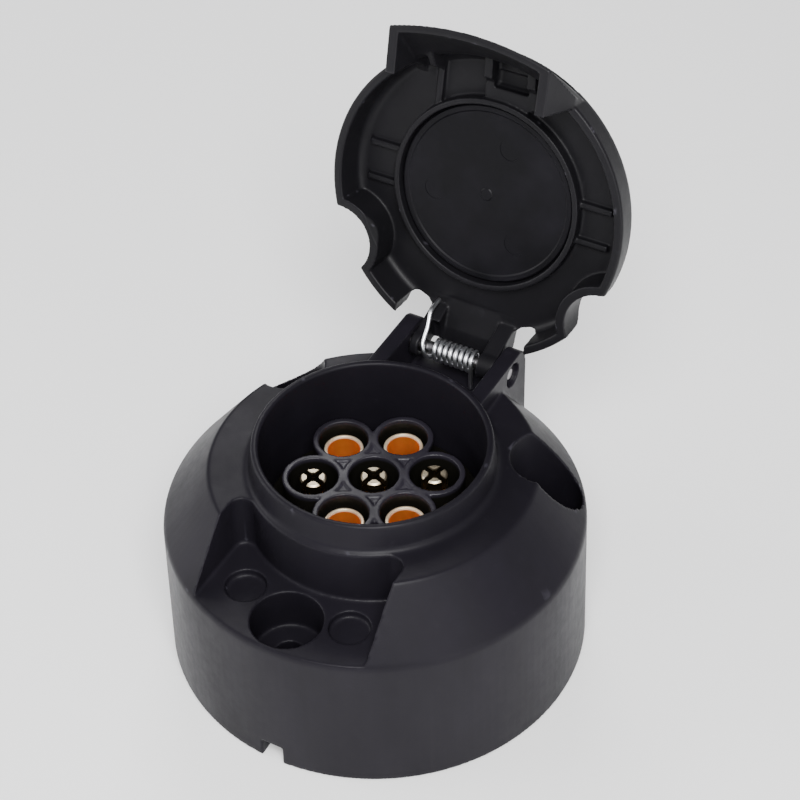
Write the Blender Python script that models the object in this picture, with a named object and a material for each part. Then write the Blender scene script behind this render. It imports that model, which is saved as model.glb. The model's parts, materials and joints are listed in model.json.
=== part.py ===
"""Seven-pole trailer wiring socket with a sprung lid, in metres, +Z up.

The origin is the middle of the mounting face. The lid's hinge is at +Y, and the slot that
the lid's visor drops into is at -Y. The lid stands open, as it does when it is held up.
"""

import math

import bmesh
import bpy
from mathutils import Matrix, Vector

MM = 0.001
GAP = 0.3 * MM

# Driving dimensions
BASE_RADIUS = 41.0 * MM
RIM_HEIGHT = 48.3 * MM
BARREL_BORE = 21.2 * MM
SCREW_CIRCLE = 32.5 * MM
SCREW_ANGLES = [math.radians(a) for a in (-90, 30, 150)]
SCREW_HOLE = 2.75 * MM
CONTACT_PITCH = 11.4 * MM
LID_RADIUS = 30.4 * MM
LID_OPEN = math.radians(103.2)
HINGE = Vector((0, 32.8 * MM, 43.5 * MM))

# Housing
WALL = 2.7 * MM
SHOULDER_RADIUS = 30.9 * MM
SHOULDER_HEIGHT = 42.7 * MM
BARREL_FOOT = 24.4 * MM
WALL_TOP = 30.5 * MM
CEILING = 28.3 * MM
TUBE_RADIUS = 25.6 * MM
TUBE_END = 19.0 * MM
SLOT_HALF_WIDTH = 18.0 * MM
SLOT_FLOOR = 31.0 * MM
SLOT_WALL_RADIUS = 24.2 * MM
SLOT_CORNER = 2.5 * MM
SCREW_LEDGE = 22.0 * MM
SIDE_BORE = 7.0 * MM
FRONT_BORE = 6.75 * MM
SLEEVE_RADIUS = 9.0 * MM
PILLAR_RADIUS = 6.2 * MM
DIMPLE = (11.0 * MM, -28.8 * MM, 3.9 * MM, 1.5 * MM)
DRAIN_HALF_WIDTH = 2.2 * MM
DRAIN_HEIGHT = 4.5 * MM

# Hinge
EAR_OUTSIDE = 12.6 * MM
EAR_INSIDE = 9.4 * MM
EAR_TOP = 47.0 * MM
EAR_BACK = 38.4 * MM
EAR_ROUND = 3.2 * MM
RECESS_FLOOR = 38.0 * MM
RECESS_FRONT = 23.4 * MM
PIN_RADIUS = 1.2 * MM
PIN_HOLE = PIN_RADIUS + GAP
PIN_SINK = (2.5 * MM, 1.2 * MM)
KNUCKLE = 2.6 * MM
ARM_INSIDE = 5.6 * MM
ARM_OUTSIDE = 9.0 * MM
SPRING_WIRE = 0.42 * MM
SPRING_RADIUS = 2.0 * MM
SPRING_PITCH = 1.15 * MM
SPRING_TURNS = 8
SPRING_START = 4.4 * MM
SPRING_STEP_OUT = 1.6 * MM
SPRING_HOOK = 4.3 * MM

# Lid, with its heights given for the lid shut
LID_TOP = 52.3 * MM
LID_CEILING = 50.3 * MM
LID_EDGE = 43.4 * MM
LID_SKIRT = 1.8 * MM
RING_OUTSIDE = 19.4 * MM
RING_INSIDE = 18.3 * MM
RING_EDGE = 47.9 * MM
SCALLOP = SIDE_BORE + 0.2 * MM
SCALLOP_SHIFTS = [(0.5 * MM, 1.2 * MM), (0, 0)]
BACK_STRETCH = 0.06
VISOR_HALF_WIDTH = 17.4 * MM
VISOR_EDGE = 36.1 * MM
VISOR_LEAN_IN = 2.7 * MM
CHEEK_WALL = 1.9 * MM
CHEEK_BACK = -24.4 * MM
CATCH_WALLS = (-1.9 * MM, 6.9 * MM)
NOTCH = (8.9 * MM, 14.1 * MM, 25.3 * MM)

# Contact insert
INSERT_BACK = 16.4 * MM
FLANGE_RADIUS = 25.3 * MM
PLUG_RADIUS = 20.9 * MM
PLUG_TOP = 30.0 * MM
TOWER_TOP = 39.4 * MM
TOWER_RADIUS = 5.8 * MM
WELL_RADIUS = 4.75 * MM
WELL_FLOOR = 31.5 * MM
WEB_TOP = 39.1 * MM
WEB_RADIUS = 12.2 * MM
SOCKET_RADIUS = 3.8 * MM
SOCKET_BORE = 3.1 * MM
SOCKET_TOP = 37.0 * MM
PIN_CONTACT_RADIUS = 2.5 * MM
PIN_CONTACT_TOP = 39.2 * MM
TERMINAL_RADIUS = 2.9 * MM
TERMINAL_TOP = 16.0 * MM
TERMINAL_END = 5.5 * MM
WIRE_HOLE = 1.7 * MM
WIRE_HOLE_TOP = 12.5 * MM
TERMINAL_SCREW_HEIGHT = 9.3 * MM
INSERT_SCREW_CIRCLE = 23.3 * MM
INSERT_SCREW_ANGLES = [math.radians(a) for a in (90, 210, 330)]

# Rear boot
BOOT_RADIUS = 20.4 * MM
BOOT_WALL = 1.6 * MM
BOOT_END = 2.0 * MM
CABLE_HOLE = 6.0 * MM

ROUND = 56
SMALL_ROUND = 20
FAR = 60 * MM

MATERIALS = {
    "moulded_black": ((0.020, 0.019, 0.023), 0.55, 0.0),
    "insert_black": ((0.012, 0.012, 0.014), 0.45, 0.0),
    "brass": ((0.78, 0.48, 0.18), 0.28, 1.0),
    "plated_steel": ((0.62, 0.63, 0.66), 0.25, 1.0),
    "rubber": ((0.030, 0.029, 0.034), 0.75, 0.0),
}


def clear_scene():
    for obj in list(bpy.data.objects):
        bpy.data.objects.remove(obj, do_unlink=True)


def material(name):
    found = bpy.data.materials.get(name)
    if found:
        return found
    colour, roughness, metallic = MATERIALS[name]
    made = bpy.data.materials.new(name)
    made.use_nodes = True
    shader = made.node_tree.nodes["Principled BSDF"]
    shader.inputs["Base Color"].default_value = (*colour, 1)
    shader.inputs["Roughness"].default_value = roughness
    shader.inputs["Metallic"].default_value = metallic
    return made


def add(name, bm, finish, parent=None):
    """Makes a named object of the mesh. Under a parent, the mesh keeps its shut-lid place."""
    bmesh.ops.recalc_face_normals(bm, faces=bm.faces)
    mesh = bpy.data.meshes.new(name)
    bm.to_mesh(mesh)
    bm.free()
    mesh.shade_smooth()
    mesh.set_sharp_from_angle(angle=math.radians(32))
    mesh.materials.append(material(finish))
    obj = bpy.data.objects.new(name, mesh)
    bpy.context.scene.collection.objects.link(obj)
    if parent:
        obj.parent = parent
        obj.matrix_parent_inverse = Matrix.Translation(-parent.location)
    return obj


def tool(name, bm, parent=None):
    """Makes a hidden helper that a Boolean uses."""
    obj = add(name, bm, "moulded_black", parent)
    obj.hide_render = True
    obj.display_type = "WIRE"
    return obj


def combine(target, operation, helper):
    modifier = target.modifiers.new(f"{operation.lower()}_{helper.name}", "BOOLEAN")
    modifier.operation = operation
    modifier.object = helper
    modifier.solver = "EXACT"


def cut(target, name, bm, parent=None):
    combine(target, "DIFFERENCE", tool(name, bm, parent))


def join(target, name, bm, parent=None):
    combine(target, "UNION", tool(name, bm, parent))


def turned(profile, steps=ROUND, closed=True):
    """Spins a profile of (radius, height) points about the Z axis."""
    bm = bmesh.new()
    verts = [bm.verts.new((r, 0, z)) for r, z in profile]
    pairs = list(zip(verts, verts[1:]))
    if closed:
        pairs.append((verts[-1], verts[0]))
    edges = [bm.edges.new(pair) for pair in pairs]
    bmesh.ops.spin(
        bm,
        geom=verts + edges,
        cent=(0, 0, 0),
        axis=(0, 0, 1),
        angle=math.tau,
        steps=steps,
        use_merge=True,
    )
    bmesh.ops.remove_doubles(bm, verts=bm.verts, dist=1e-6)
    return bm


def rod(radius, start, end, steps=SMALL_ROUND):
    """A cylinder between two points."""
    start = Vector(start)
    end = Vector(end)
    along = end - start
    turn = Vector((0, 0, 1)).rotation_difference(along).to_matrix().to_4x4()
    bm = bmesh.new()
    bmesh.ops.create_cone(
        bm,
        cap_ends=True,
        segments=steps,
        radius1=radius,
        radius2=radius,
        depth=along.length,
        matrix=Matrix.Translation((start + end) / 2) @ turn,
    )
    return bm


def upright(radius, x, y, low, high, steps=SMALL_ROUND):
    return rod(radius, (x, y, low), (x, y, high), steps)


def box(low, high):
    low = Vector(low)
    high = Vector(high)
    bm = bmesh.new()
    place = Matrix.Translation((low + high) / 2)
    bmesh.ops.create_cube(bm, size=1, matrix=place @ Matrix.Diagonal((*(high - low), 1)))
    return bm


def extruded(outline, offset):
    """Extrudes a closed outline of 3-D points by the offset vector."""
    bm = bmesh.new()
    face = bm.faces.new([bm.verts.new(point) for point in outline])
    made = bmesh.ops.extrude_face_region(bm, geom=[face])
    moved = [item for item in made["geom"] if isinstance(item, bmesh.types.BMVert)]
    bmesh.ops.translate(bm, vec=offset, verts=moved)
    return bm


def side_profile(points, low_x, high_x):
    """A slab whose outline is drawn in the YZ plane."""
    outline = [(low_x, y, z) for y, z in points]
    return extruded(outline, (high_x - low_x, 0, 0))


def arc(cx, cy, radius, start, end, steps):
    """Points along an arc, with the angles in degrees."""
    points = []
    for i in range(steps + 1):
        angle = math.radians(start + (end - start) * i / steps)
        points.append((cx + radius * math.cos(angle), cy + radius * math.sin(angle)))
    return points


def on_circle(radius, angle):
    return radius * math.cos(angle), radius * math.sin(angle)


def housing_section():
    """Half section of the housing, down the outside and back up the inside."""
    return [
        (BARREL_BORE + 1.1 * MM, RIM_HEIGHT),
        (BARREL_BORE + 1.35 * MM, RIM_HEIGHT - 0.35 * MM),
        (BARREL_BORE + 1.7 * MM, SHOULDER_HEIGHT + 2.4 * MM),
        (BARREL_FOOT - 0.7 * MM, SHOULDER_HEIGHT + 1.2 * MM),
        (BARREL_FOOT, SHOULDER_HEIGHT + 0.4 * MM),
        (SHOULDER_RADIUS - 0.4 * MM, SHOULDER_HEIGHT),
        (SHOULDER_RADIUS + 0.4 * MM, SHOULDER_HEIGHT - 0.5 * MM),
        (BASE_RADIUS - 2.1 * MM, WALL_TOP + 1.9 * MM),
        (BASE_RADIUS - 1.1 * MM, WALL_TOP + 0.5 * MM),
        (BASE_RADIUS - 0.7 * MM, WALL_TOP - 1.4 * MM),
        (BASE_RADIUS, 0.4 * MM),
        (BASE_RADIUS - 0.4 * MM, 0),
        (BASE_RADIUS - WALL, 0),
        (BASE_RADIUS - WALL - 0.7 * MM, CEILING),
        (TUBE_RADIUS, CEILING),
        (TUBE_RADIUS, TUBE_END),
        (BARREL_BORE, TUBE_END),
        (BARREL_BORE, RIM_HEIGHT - 0.35 * MM),
        (BARREL_BORE + 0.35 * MM, RIM_HEIGHT),
    ]


def slot_outline():
    """Plan of the front slot: straight sides, rounded corners and the barrel's round wall."""
    centre_x = SLOT_HALF_WIDTH - SLOT_CORNER
    reach = SLOT_WALL_RADIUS + SLOT_CORNER
    centre_y = -math.sqrt(reach**2 - centre_x**2)
    lean = math.degrees(math.atan2(-centre_y, centre_x))
    corner = arc(centre_x, centre_y, SLOT_CORNER, 0, 180 - lean, 4)
    wall = arc(0, 0, SLOT_WALL_RADIUS, -lean, lean - 180, 16)
    other = [(-x, y) for x, y in reversed(corner)]
    front = [(-SLOT_HALF_WIDTH, -FAR), (SLOT_HALF_WIDTH, -FAR)]
    return corner + wall[1:-1] + other + front


def ear_profile():
    """Side view of the hinge block, with its upper back corner rounded."""
    front = 15 * MM
    round_top = arc(EAR_BACK - EAR_ROUND, EAR_TOP - EAR_ROUND, EAR_ROUND, 0, 90, 4)
    foot = [(front, CEILING + 0.4 * MM), (EAR_BACK, CEILING + 0.4 * MM)]
    return foot + round_top + [(front, EAR_TOP)]


def make_housing():
    housing = add("housing", turned(housing_section()), "moulded_black")

    block = tool("hinge_block", side_profile(ear_profile(), -EAR_OUTSIDE, EAR_OUTSIDE))
    cut(block, "hinge_block_front", upright(BARREL_BORE + 0.6 * MM, 0, 0, 20 * MM, FAR, ROUND))
    combine(housing, "UNION", block)

    for i, angle in enumerate(SCREW_ANGLES):
        x, y = on_circle(SCREW_CIRCLE, angle)
        sleeve_bm = upright(SLEEVE_RADIUS, x, y, SCREW_LEDGE - 2.5 * MM, CEILING + 0.5 * MM)
        sleeve = tool(f"sleeve_{i}", sleeve_bm)
        inside = tool(f"sleeve_limit_{i}", upright(BASE_RADIUS - 1.6 * MM, 0, 0, 0, FAR, ROUND))
        combine(sleeve, "INTERSECT", inside)
        combine(housing, "UNION", sleeve)
        join(housing, f"pillar_{i}", upright(PILLAR_RADIUS, x, y, 0, SCREW_LEDGE - 1 * MM))

    for i in range(6):
        rib = box(
            (TUBE_RADIUS - 1 * MM, -0.8 * MM, TUBE_END + 1 * MM),
            (BASE_RADIUS - WALL, 0.8 * MM, CEILING + 0.5 * MM),
        )
        turn = Matrix.Rotation(math.radians(60 * i), 4, "Z")
        bmesh.ops.transform(rib, matrix=turn, verts=rib.verts)
        join(housing, f"rib_{i}", rib)

    slot = extruded([(x, y, SLOT_FLOOR) for x, y in slot_outline()], (0, 0, FAR))
    cut(housing, "front_slot", slot)
    recess = tool("hinge_recess", box((-EAR_INSIDE, 10 * MM, RECESS_FLOOR), (EAR_INSIDE, FAR, FAR)))
    cut(recess, "hinge_recess_front", upright(RECESS_FRONT, 0, 0, 30 * MM, FAR + MM, ROUND))
    combine(housing, "DIFFERENCE", recess)

    for i, angle in enumerate(SCREW_ANGLES):
        x, y = on_circle(SCREW_CIRCLE, angle)
        bore = FRONT_BORE if i == 0 else SIDE_BORE
        cut(housing, f"screw_bore_{i}", upright(bore, x, y, SCREW_LEDGE, FAR, 28))
        cut(housing, f"screw_hole_{i}", upright(SCREW_HOLE, x, y, -MM, SCREW_LEDGE + MM))

    dimple_x, dimple_y, dimple_radius, dimple_depth = DIMPLE
    for side in (-1, 1):
        low = SLOT_FLOOR - dimple_depth
        dimple = upright(dimple_radius, side * dimple_x, dimple_y, low, SLOT_FLOOR + MM)
        cut(housing, f"dimple_{'left' if side < 0 else 'right'}", dimple)
    drain = box((-DRAIN_HALF_WIDTH, -FAR, -MM), (DRAIN_HALF_WIDTH, -36 * MM, DRAIN_HEIGHT))
    cut(housing, "drain_notch", drain)

    hole_ends = [HINGE + Vector((side * 14 * MM, 0, 0)) for side in (-1, 1)]
    cut(housing, "ear_pin_hole", rod(PIN_HOLE, *hole_ends, 16))
    sink_radius, sink_depth = PIN_SINK
    for side in (-1, 1):
        start = HINGE + Vector((side * (EAR_OUTSIDE - sink_depth), 0, 0))
        end = HINGE + Vector((side * 14 * MM, 0, 0))
        cut(housing, f"pin_sink_{'left' if side < 0 else 'right'}", rod(sink_radius, start, end))
    for i, angle in enumerate(INSERT_SCREW_ANGLES):
        x, y = on_circle(INSERT_SCREW_CIRCLE, angle)
        cut(housing, f"insert_thread_{i}", upright(1.4 * MM, x, y, 18 * MM, 25.5 * MM, 12))
    return housing


def lid_section():
    """Half section of the lid's cap, down the outside and back along the inside."""
    inside = LID_RADIUS - LID_SKIRT
    return [
        (0, LID_TOP),
        (20 * MM, LID_TOP - 0.2 * MM),
        (26.5 * MM, LID_TOP - 1.1 * MM),
        (LID_RADIUS - 1.4 * MM, LID_TOP - 2.7 * MM),
        (LID_RADIUS - 0.3 * MM, LID_TOP - 5.0 * MM),
        (LID_RADIUS, LID_EDGE),
        (inside, LID_EDGE),
        (inside - 0.2 * MM, LID_CEILING - 2.1 * MM),
        (inside - 0.9 * MM, LID_CEILING - 0.6 * MM),
        (inside - 1.9 * MM, LID_CEILING),
        (0, LID_CEILING),
    ]


def lid_inset():
    """Solid of revolution a little inside the cap's outer surface, down past its edge."""
    inset = 0.5 * MM
    outside = [(r, z - inset) for r, z in lid_section()[:3]]
    outside += [(r - inset, z) for r, z in lid_section()[3:5]]
    foot = LID_EDGE - 4 * MM
    return drawn_out(turned(outside + [(LID_RADIUS - inset, foot), (0, foot)], closed=False))


def drawn_out(bm):
    """Stretches the back of a turned cap a little towards the hinge."""
    start = 10 * MM
    for vert in bm.verts:
        vert.co.y += BACK_STRETCH * max(0, vert.co.y - start)
    return bm


def visor_rows():
    """The visor, from the cap to its edge: height, reach in the middle, fall-off at the sides, wall."""
    return [
        (LID_CEILING - 0.2 * MM, LID_RADIUS - 2.2 * MM, 5.9 * MM, 1.7 * MM),
        (LID_CEILING - 1.3 * MM, LID_RADIUS - 0.8 * MM, 5.7 * MM, 1.8 * MM),
        (LID_CEILING - 3.3 * MM, LID_RADIUS + 0.1 * MM, 5.4 * MM, 1.9 * MM),
        (LID_EDGE + 0.2 * MM, LID_RADIUS + 0.9 * MM, 4.6 * MM, 2.0 * MM),
        (VISOR_EDGE + 0.4 * MM, LID_RADIUS + 5.4 * MM, 2.4 * MM, 1.6 * MM),
        (VISOR_EDGE, LID_RADIUS + 5.0 * MM, 2.4 * MM, 0.9 * MM),
    ]


def visor_plan(height, reach, fall_off, wall, steps=14):
    """Closed plan of the visor at one height. Its right cheek leans in below the cap."""
    lean = min(1, max(0, (LID_EDGE - height) / (LID_EDGE - VISOR_EDGE)))
    left = -VISOR_HALF_WIDTH
    right = VISOR_HALF_WIDTH - VISOR_LEAN_IN * lean
    middle = (left + right) / 2

    def front(low_x, high_x, reach_here):
        points = []
        for i in range(steps + 1):
            x = low_x + (high_x - low_x) * i / steps
            points.append((x, fall_off * ((x - middle) / (right - middle)) ** 2 - reach_here))
        return points

    outside = front(left, right, reach)
    inside = front(right - CHEEK_WALL, left + CHEEK_WALL, reach - wall)
    back = max(CHEEK_BACK, fall_off - reach + wall)
    right_end = [(right, back), (right - CHEEK_WALL, back)]
    left_end = [(left + CHEEK_WALL, back), (left, back)]
    return outside + right_end + inside + left_end


def lofted(rings):
    """Skins closed rings of 3-D points that all have the same count, and caps both ends."""
    bm = bmesh.new()
    rows = [[bm.verts.new(point) for point in ring] for ring in rings]
    for upper, lower in zip(rows, rows[1:]):
        for i in range(len(upper)):
            j = (i + 1) % len(upper)
            bm.faces.new((upper[i], upper[j], lower[j], lower[i]))
    bm.faces.new(rows[0])
    bm.faces.new(rows[-1])
    return bm


def arm_profile():
    """Side view of a lid arm, from the cap's ceiling round the hinge pin and back up."""
    front = [
        (24.0 * MM, LID_CEILING + MM),
        (24.6 * MM, LID_CEILING),
        (26.3 * MM, LID_CEILING),
    ]
    knuckle = arc(HINGE.y, HINGE.z, KNUCKLE, 180, 390, 10)
    back = [
        (33.2 * MM, 49.0 * MM),
        (31.0 * MM, 51.0 * MM),
        (27.5 * MM, LID_TOP - 0.6 * MM),
        (24.0 * MM, LID_TOP - 0.6 * MM),
    ]
    return front + knuckle + back


def web_profile():
    """Side view of the web between the two arms, which hangs down behind the spring when open."""
    return [
        (24.0 * MM, LID_CEILING + 0.3 * MM),
        (30.6 * MM, LID_CEILING - 1.2 * MM),
        (35.3 * MM, LID_CEILING - 1.4 * MM),
        (35.3 * MM, LID_CEILING - 0.2 * MM),
        (31.0 * MM, 51.0 * MM),
        (27.5 * MM, LID_TOP - 0.6 * MM),
        (24.0 * MM, LID_TOP - 0.6 * MM),
    ]


def notch_outline(side):
    """Plan of the notch that clears a hinge ear, deepest beside the skirt."""
    inner, outer, end = NOTCH
    points = [
        (inner, end + 2.2 * MM),
        (inner + 1.4 * MM, end + 0.8 * MM),
        (inner + 3.4 * MM, end),
        (outer - 0.9 * MM, end),
        (outer - 0.2 * MM, end + 0.5 * MM),
        (outer, end + 1.2 * MM),
        (outer, FAR),
        (inner, FAR),
    ]
    return [(side * x, y) for x, y in points]


def add_visor(lid, pivot):
    inside = VISOR_HALF_WIDTH - CHEEK_WALL
    low = (-inside, -FAR, LID_EDGE - 3 * MM)
    high = (inside, -20 * MM, LID_CEILING - 0.5 * MM)
    cut(lid, "visor_window", box(low, high), pivot)
    rings = []
    for height, reach, fall_off, wall in visor_rows():
        rings.append([(x, y, height) for x, y in visor_plan(height, reach, fall_off, wall)])
    join(lid, "visor", lofted(rings), pivot)


def add_lid_ribs(lid, pivot):
    top = LID_CEILING + 0.5 * MM
    for side in (-1, 1):
        for end in (-1, 1):
            xs = sorted((side * (RING_OUTSIDE - 0.3 * MM), side * 25.6 * MM))
            low = (xs[0], end * 3.7 * MM - 0.6 * MM, LID_CEILING - 1.2 * MM)
            high = (xs[1], end * 3.7 * MM + 0.6 * MM, top)
            name = f"side_rib_{'left' if side < 0 else 'right'}_{'rear' if end > 0 else 'front'}"
            join(lid, name, box(low, high), pivot)
    rib = [
        (-14.6 * MM, top),
        (-14.6 * MM, LID_CEILING - 1.3 * MM),
        (-22.4 * MM, LID_CEILING - 1.3 * MM),
        (-24.2 * MM, LID_CEILING - 5.0 * MM),
        (-28.6 * MM, LID_CEILING - 8.0 * MM),
        (-27.0 * MM, LID_CEILING - 3.8 * MM),
        (-25.3 * MM, LID_CEILING - 0.9 * MM),
        (-22.8 * MM, top),
    ]
    join(lid, "visor_rib", side_profile(rib, -12.9 * MM, -11.5 * MM), pivot)


def add_plug_catch(lid, pivot):
    """Two walls and a step behind the visor that hold a plug's lug."""
    top = LID_CEILING + 0.5 * MM
    wall = [
        (-19.0 * MM, top),
        (-19.0 * MM, LID_CEILING - 1.3 * MM),
        (-22.8 * MM, LID_CEILING - 1.5 * MM),
        (-24.0 * MM, LID_CEILING - 2.9 * MM),
        (-28.9 * MM, LID_CEILING - 3.4 * MM),
        (-28.0 * MM, LID_CEILING - 1.1 * MM),
        (-25.5 * MM, top),
    ]
    left, right = CATCH_WALLS
    for name, middle in (("left", left), ("right", right)):
        slab = side_profile(wall, middle - 0.85 * MM, middle + 0.85 * MM)
        join(lid, f"catch_wall_{name}", slab, pivot)
    step = box((left, -21.8 * MM, LID_CEILING - 1.4 * MM), (right, -19.0 * MM, top))
    join(lid, "catch_step", step, pivot)
    pocket_low = (left + 1.0 * MM, -25.0 * MM, LID_CEILING - 1.0 * MM)
    pocket_high = (right - 1.0 * MM, -22.2 * MM, LID_CEILING + 0.5 * MM)
    cut(lid, "catch_pocket", box(pocket_low, pocket_high), pivot)


def add_scallops(lid, pivot):
    """The skirt follows each side screw bore round, so that a screwdriver clears the lid."""
    for i, (angle, shift) in enumerate(zip(SCREW_ANGLES[1:], SCALLOP_SHIFTS)):
        x, y = Vector(on_circle(SCREW_CIRCLE, angle)) + Vector(shift)
        wall_bm = upright(SCALLOP + LID_SKIRT, x, y, LID_EDGE, LID_CEILING + MM, 28)
        wall = tool(f"scallop_wall_{i}", wall_bm, pivot)
        combine(wall, "INTERSECT", tool(f"scallop_limit_{i}", lid_inset(), pivot))
        combine(lid, "UNION", wall)
        cut(lid, f"scallop_{i}", upright(SCALLOP, x, y, 30 * MM, FAR, 28), pivot)
    foot = BARREL_FOOT + 0.35 * MM
    foot_room = [
        (0, 30 * MM),
        (foot, 30 * MM),
        (foot, SHOULDER_HEIGHT + 0.3 * MM),
        (foot - 0.75 * MM, SHOULDER_HEIGHT + 1.4 * MM),
        (foot - 1.55 * MM, SHOULDER_HEIGHT + 2.5 * MM),
        (0, SHOULDER_HEIGHT + 2.5 * MM),
    ]
    cut(lid, "barrel_foot_room", turned(foot_room, closed=False), pivot)


def make_lid(pivot):
    lid = add("lid", drawn_out(turned(lid_section(), closed=False)), "moulded_black", pivot)
    ring = turned(
        [
            (RING_OUTSIDE, LID_CEILING + 0.5 * MM),
            (RING_OUTSIDE, RING_EDGE),
            (RING_INSIDE, RING_EDGE),
            (RING_INSIDE, LID_CEILING + 0.5 * MM),
        ]
    )
    join(lid, "lid_ring", ring, pivot)
    add_visor(lid, pivot)
    add_lid_ribs(lid, pivot)
    add_plug_catch(lid, pivot)
    add_scallops(lid, pivot)
    neck = box((-ARM_OUTSIDE, 24.2 * MM, LID_EDGE - 4 * MM), (ARM_OUTSIDE, 40 * MM, LID_CEILING))
    cut(lid, "neck_window", neck, pivot)
    for side in (-1, 1):
        name = "left" if side < 0 else "right"
        outline = [(x, y, 30 * MM) for x, y in notch_outline(side)]
        cut(lid, f"ear_notch_{name}", extruded(outline, (0, 0, FAR)), pivot)
        xs = sorted((side * ARM_INSIDE, side * ARM_OUTSIDE))
        join(lid, f"arm_{name}", side_profile(arm_profile(), *xs), pivot)
    web_reach = ARM_INSIDE + 0.5 * MM
    join(lid, "neck_web", side_profile(web_profile(), -web_reach, web_reach), pivot)
    leg_room = rod(5.2 * MM, HINGE - Vector((7.3 * MM, 0, 0)), HINGE - Vector((5.0 * MM, 0, 0)), 20)
    cut(lid, "spring_leg_room", leg_room, pivot)
    ends = [HINGE + Vector((side * 12 * MM, 0, 0)) for side in (-1, 1)]
    cut(lid, "knuckle_pin_hole", rod(PIN_HOLE, *ends, 16), pivot)
    return lid


def make_lid_disc(pivot):
    radius = RING_INSIDE - 0.4 * MM
    face = LID_CEILING - GAP
    section = [
        (0, face),
        (radius, face),
        (radius, face - 0.6 * MM),
        (radius - 0.4 * MM, face - MM),
        (0, face - MM),
    ]
    return add("lid_seal_disc", turned(section, closed=False), "rubber", pivot)


def make_hinge_pin():
    left = HINGE - Vector((EAR_OUTSIDE - 0.6 * MM, 0, 0))
    right = HINGE + Vector((EAR_OUTSIDE - 0.6 * MM, 0, 0))
    return add("hinge_pin", rod(PIN_RADIUS, left, right, 16), "plated_steel")


def spring_path():
    """One leg stands on the recess floor, the coil winds over the pin, and one leg bears on the lid."""
    points = [(SPRING_START, HINGE.y - SPRING_RADIUS, RECESS_FLOOR + GAP)]
    points.append((SPRING_START, HINGE.y - SPRING_RADIUS, HINGE.z - 2.2 * MM))
    leave = 132.9
    sweep = 180 - leave + 360 * SPRING_TURNS
    turns = sweep / 360
    steps = 10 * SPRING_TURNS
    for i in range(steps + 1):
        done = turns * i / steps
        angle = math.radians(180 - 360 * done)
        step_out = SPRING_STEP_OUT * max(0, 1 - 2 * (turns - done))
        x = SPRING_START - SPRING_PITCH * done - step_out
        y = HINGE.y + SPRING_RADIUS * math.cos(angle)
        z = HINGE.z + SPRING_RADIUS * math.sin(angle)
        points.append((x, y, z))
    x, y, z = points[-1]
    lean = math.radians(leave - 90)
    for length, shift in ((1.6 * MM, 0.1 * MM), (3.2 * MM, 0.1 * MM), (6.2 * MM, 0.6 * MM)):
        points.append((x - shift, y + length * math.cos(lean), z + length * math.sin(lean)))
    x, y, z = points[-1]
    points.append((x - 0.1 * MM, y + 1.0 * MM, z + 0.3 * MM))
    points.append((x - 0.2 * MM, y + SPRING_HOOK, z + 0.3 * MM))
    return points


def make_hinge_spring():
    curve = bpy.data.curves.new("hinge_spring", "CURVE")
    curve.dimensions = "3D"
    curve.bevel_depth = SPRING_WIRE
    curve.bevel_resolution = 1
    curve.use_fill_caps = True
    points = spring_path()
    spline = curve.splines.new("POLY")
    spline.points.add(len(points) - 1)
    for point, place in zip(spline.points, points):
        point.co = (*place, 1)
    curve.materials.append(material("plated_steel"))
    spring = bpy.data.objects.new("hinge_spring", curve)
    bpy.context.scene.collection.objects.link(spring)
    return spring


def contact_places():
    """The middle contact and the six round it: (name ending, x, y, angle that its screw faces)."""
    places = [("centre", 0.0, 0.0, math.radians(60))]
    for i in range(6):
        angle = math.radians(30 + 60 * i)
        x, y = on_circle(CONTACT_PITCH, angle)
        places.append((f"{30 + 60 * i}", x, y, angle))
    return places


PIN_PLACES = ("centre", "30", "210")


def make_insert():
    section = [
        (0, PLUG_TOP),
        (PLUG_RADIUS, PLUG_TOP),
        (PLUG_RADIUS, TUBE_END - GAP),
        (FLANGE_RADIUS, TUBE_END - GAP),
        (FLANGE_RADIUS, INSERT_BACK),
        (0, INSERT_BACK),
    ]
    insert = add("contact_insert", turned(section, 48, closed=False), "insert_black")
    join(insert, "tower_web", upright(WEB_RADIUS, 0, 0, PLUG_TOP - MM, WEB_TOP, 36))
    for name, x, y, _ in contact_places():
        join(insert, f"tower_{name}", upright(TOWER_RADIUS, x, y, PLUG_TOP - MM, TOWER_TOP, 24))
    for name, x, y, _ in contact_places():
        cut(insert, f"well_{name}", upright(WELL_RADIUS, x, y, WELL_FLOOR, TOWER_TOP + MM, 20))
        radius = PIN_CONTACT_RADIUS if name in PIN_PLACES else SOCKET_RADIUS
        through = upright(radius + GAP, x, y, INSERT_BACK - MM, WELL_FLOOR + MM, 16)
        cut(insert, f"contact_hole_{name}", through)
    for i, angle in enumerate(INSERT_SCREW_ANGLES):
        x, y = on_circle(INSERT_SCREW_CIRCLE, angle)
        cut(insert, f"insert_screw_hole_{i}", upright(1.4 * MM, x, y, INSERT_BACK - MM, TUBE_END, 12))
    return insert


def terminal_section():
    """The wire end that every contact has, from its blind wire hole out and up."""
    return [
        (0, WIRE_HOLE_TOP),
        (WIRE_HOLE, WIRE_HOLE_TOP),
        (WIRE_HOLE, TERMINAL_END),
        (TERMINAL_RADIUS, TERMINAL_END),
        (TERMINAL_RADIUS, TERMINAL_TOP),
    ]


def socket_section():
    return terminal_section() + [
        (SOCKET_RADIUS, TERMINAL_TOP),
        (SOCKET_RADIUS, SOCKET_TOP - 0.3 * MM),
        (SOCKET_RADIUS - 0.2 * MM, SOCKET_TOP),
        (SOCKET_BORE, SOCKET_TOP),
        (SOCKET_BORE, 19.6 * MM),
        (0, 18.6 * MM),
    ]


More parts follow.
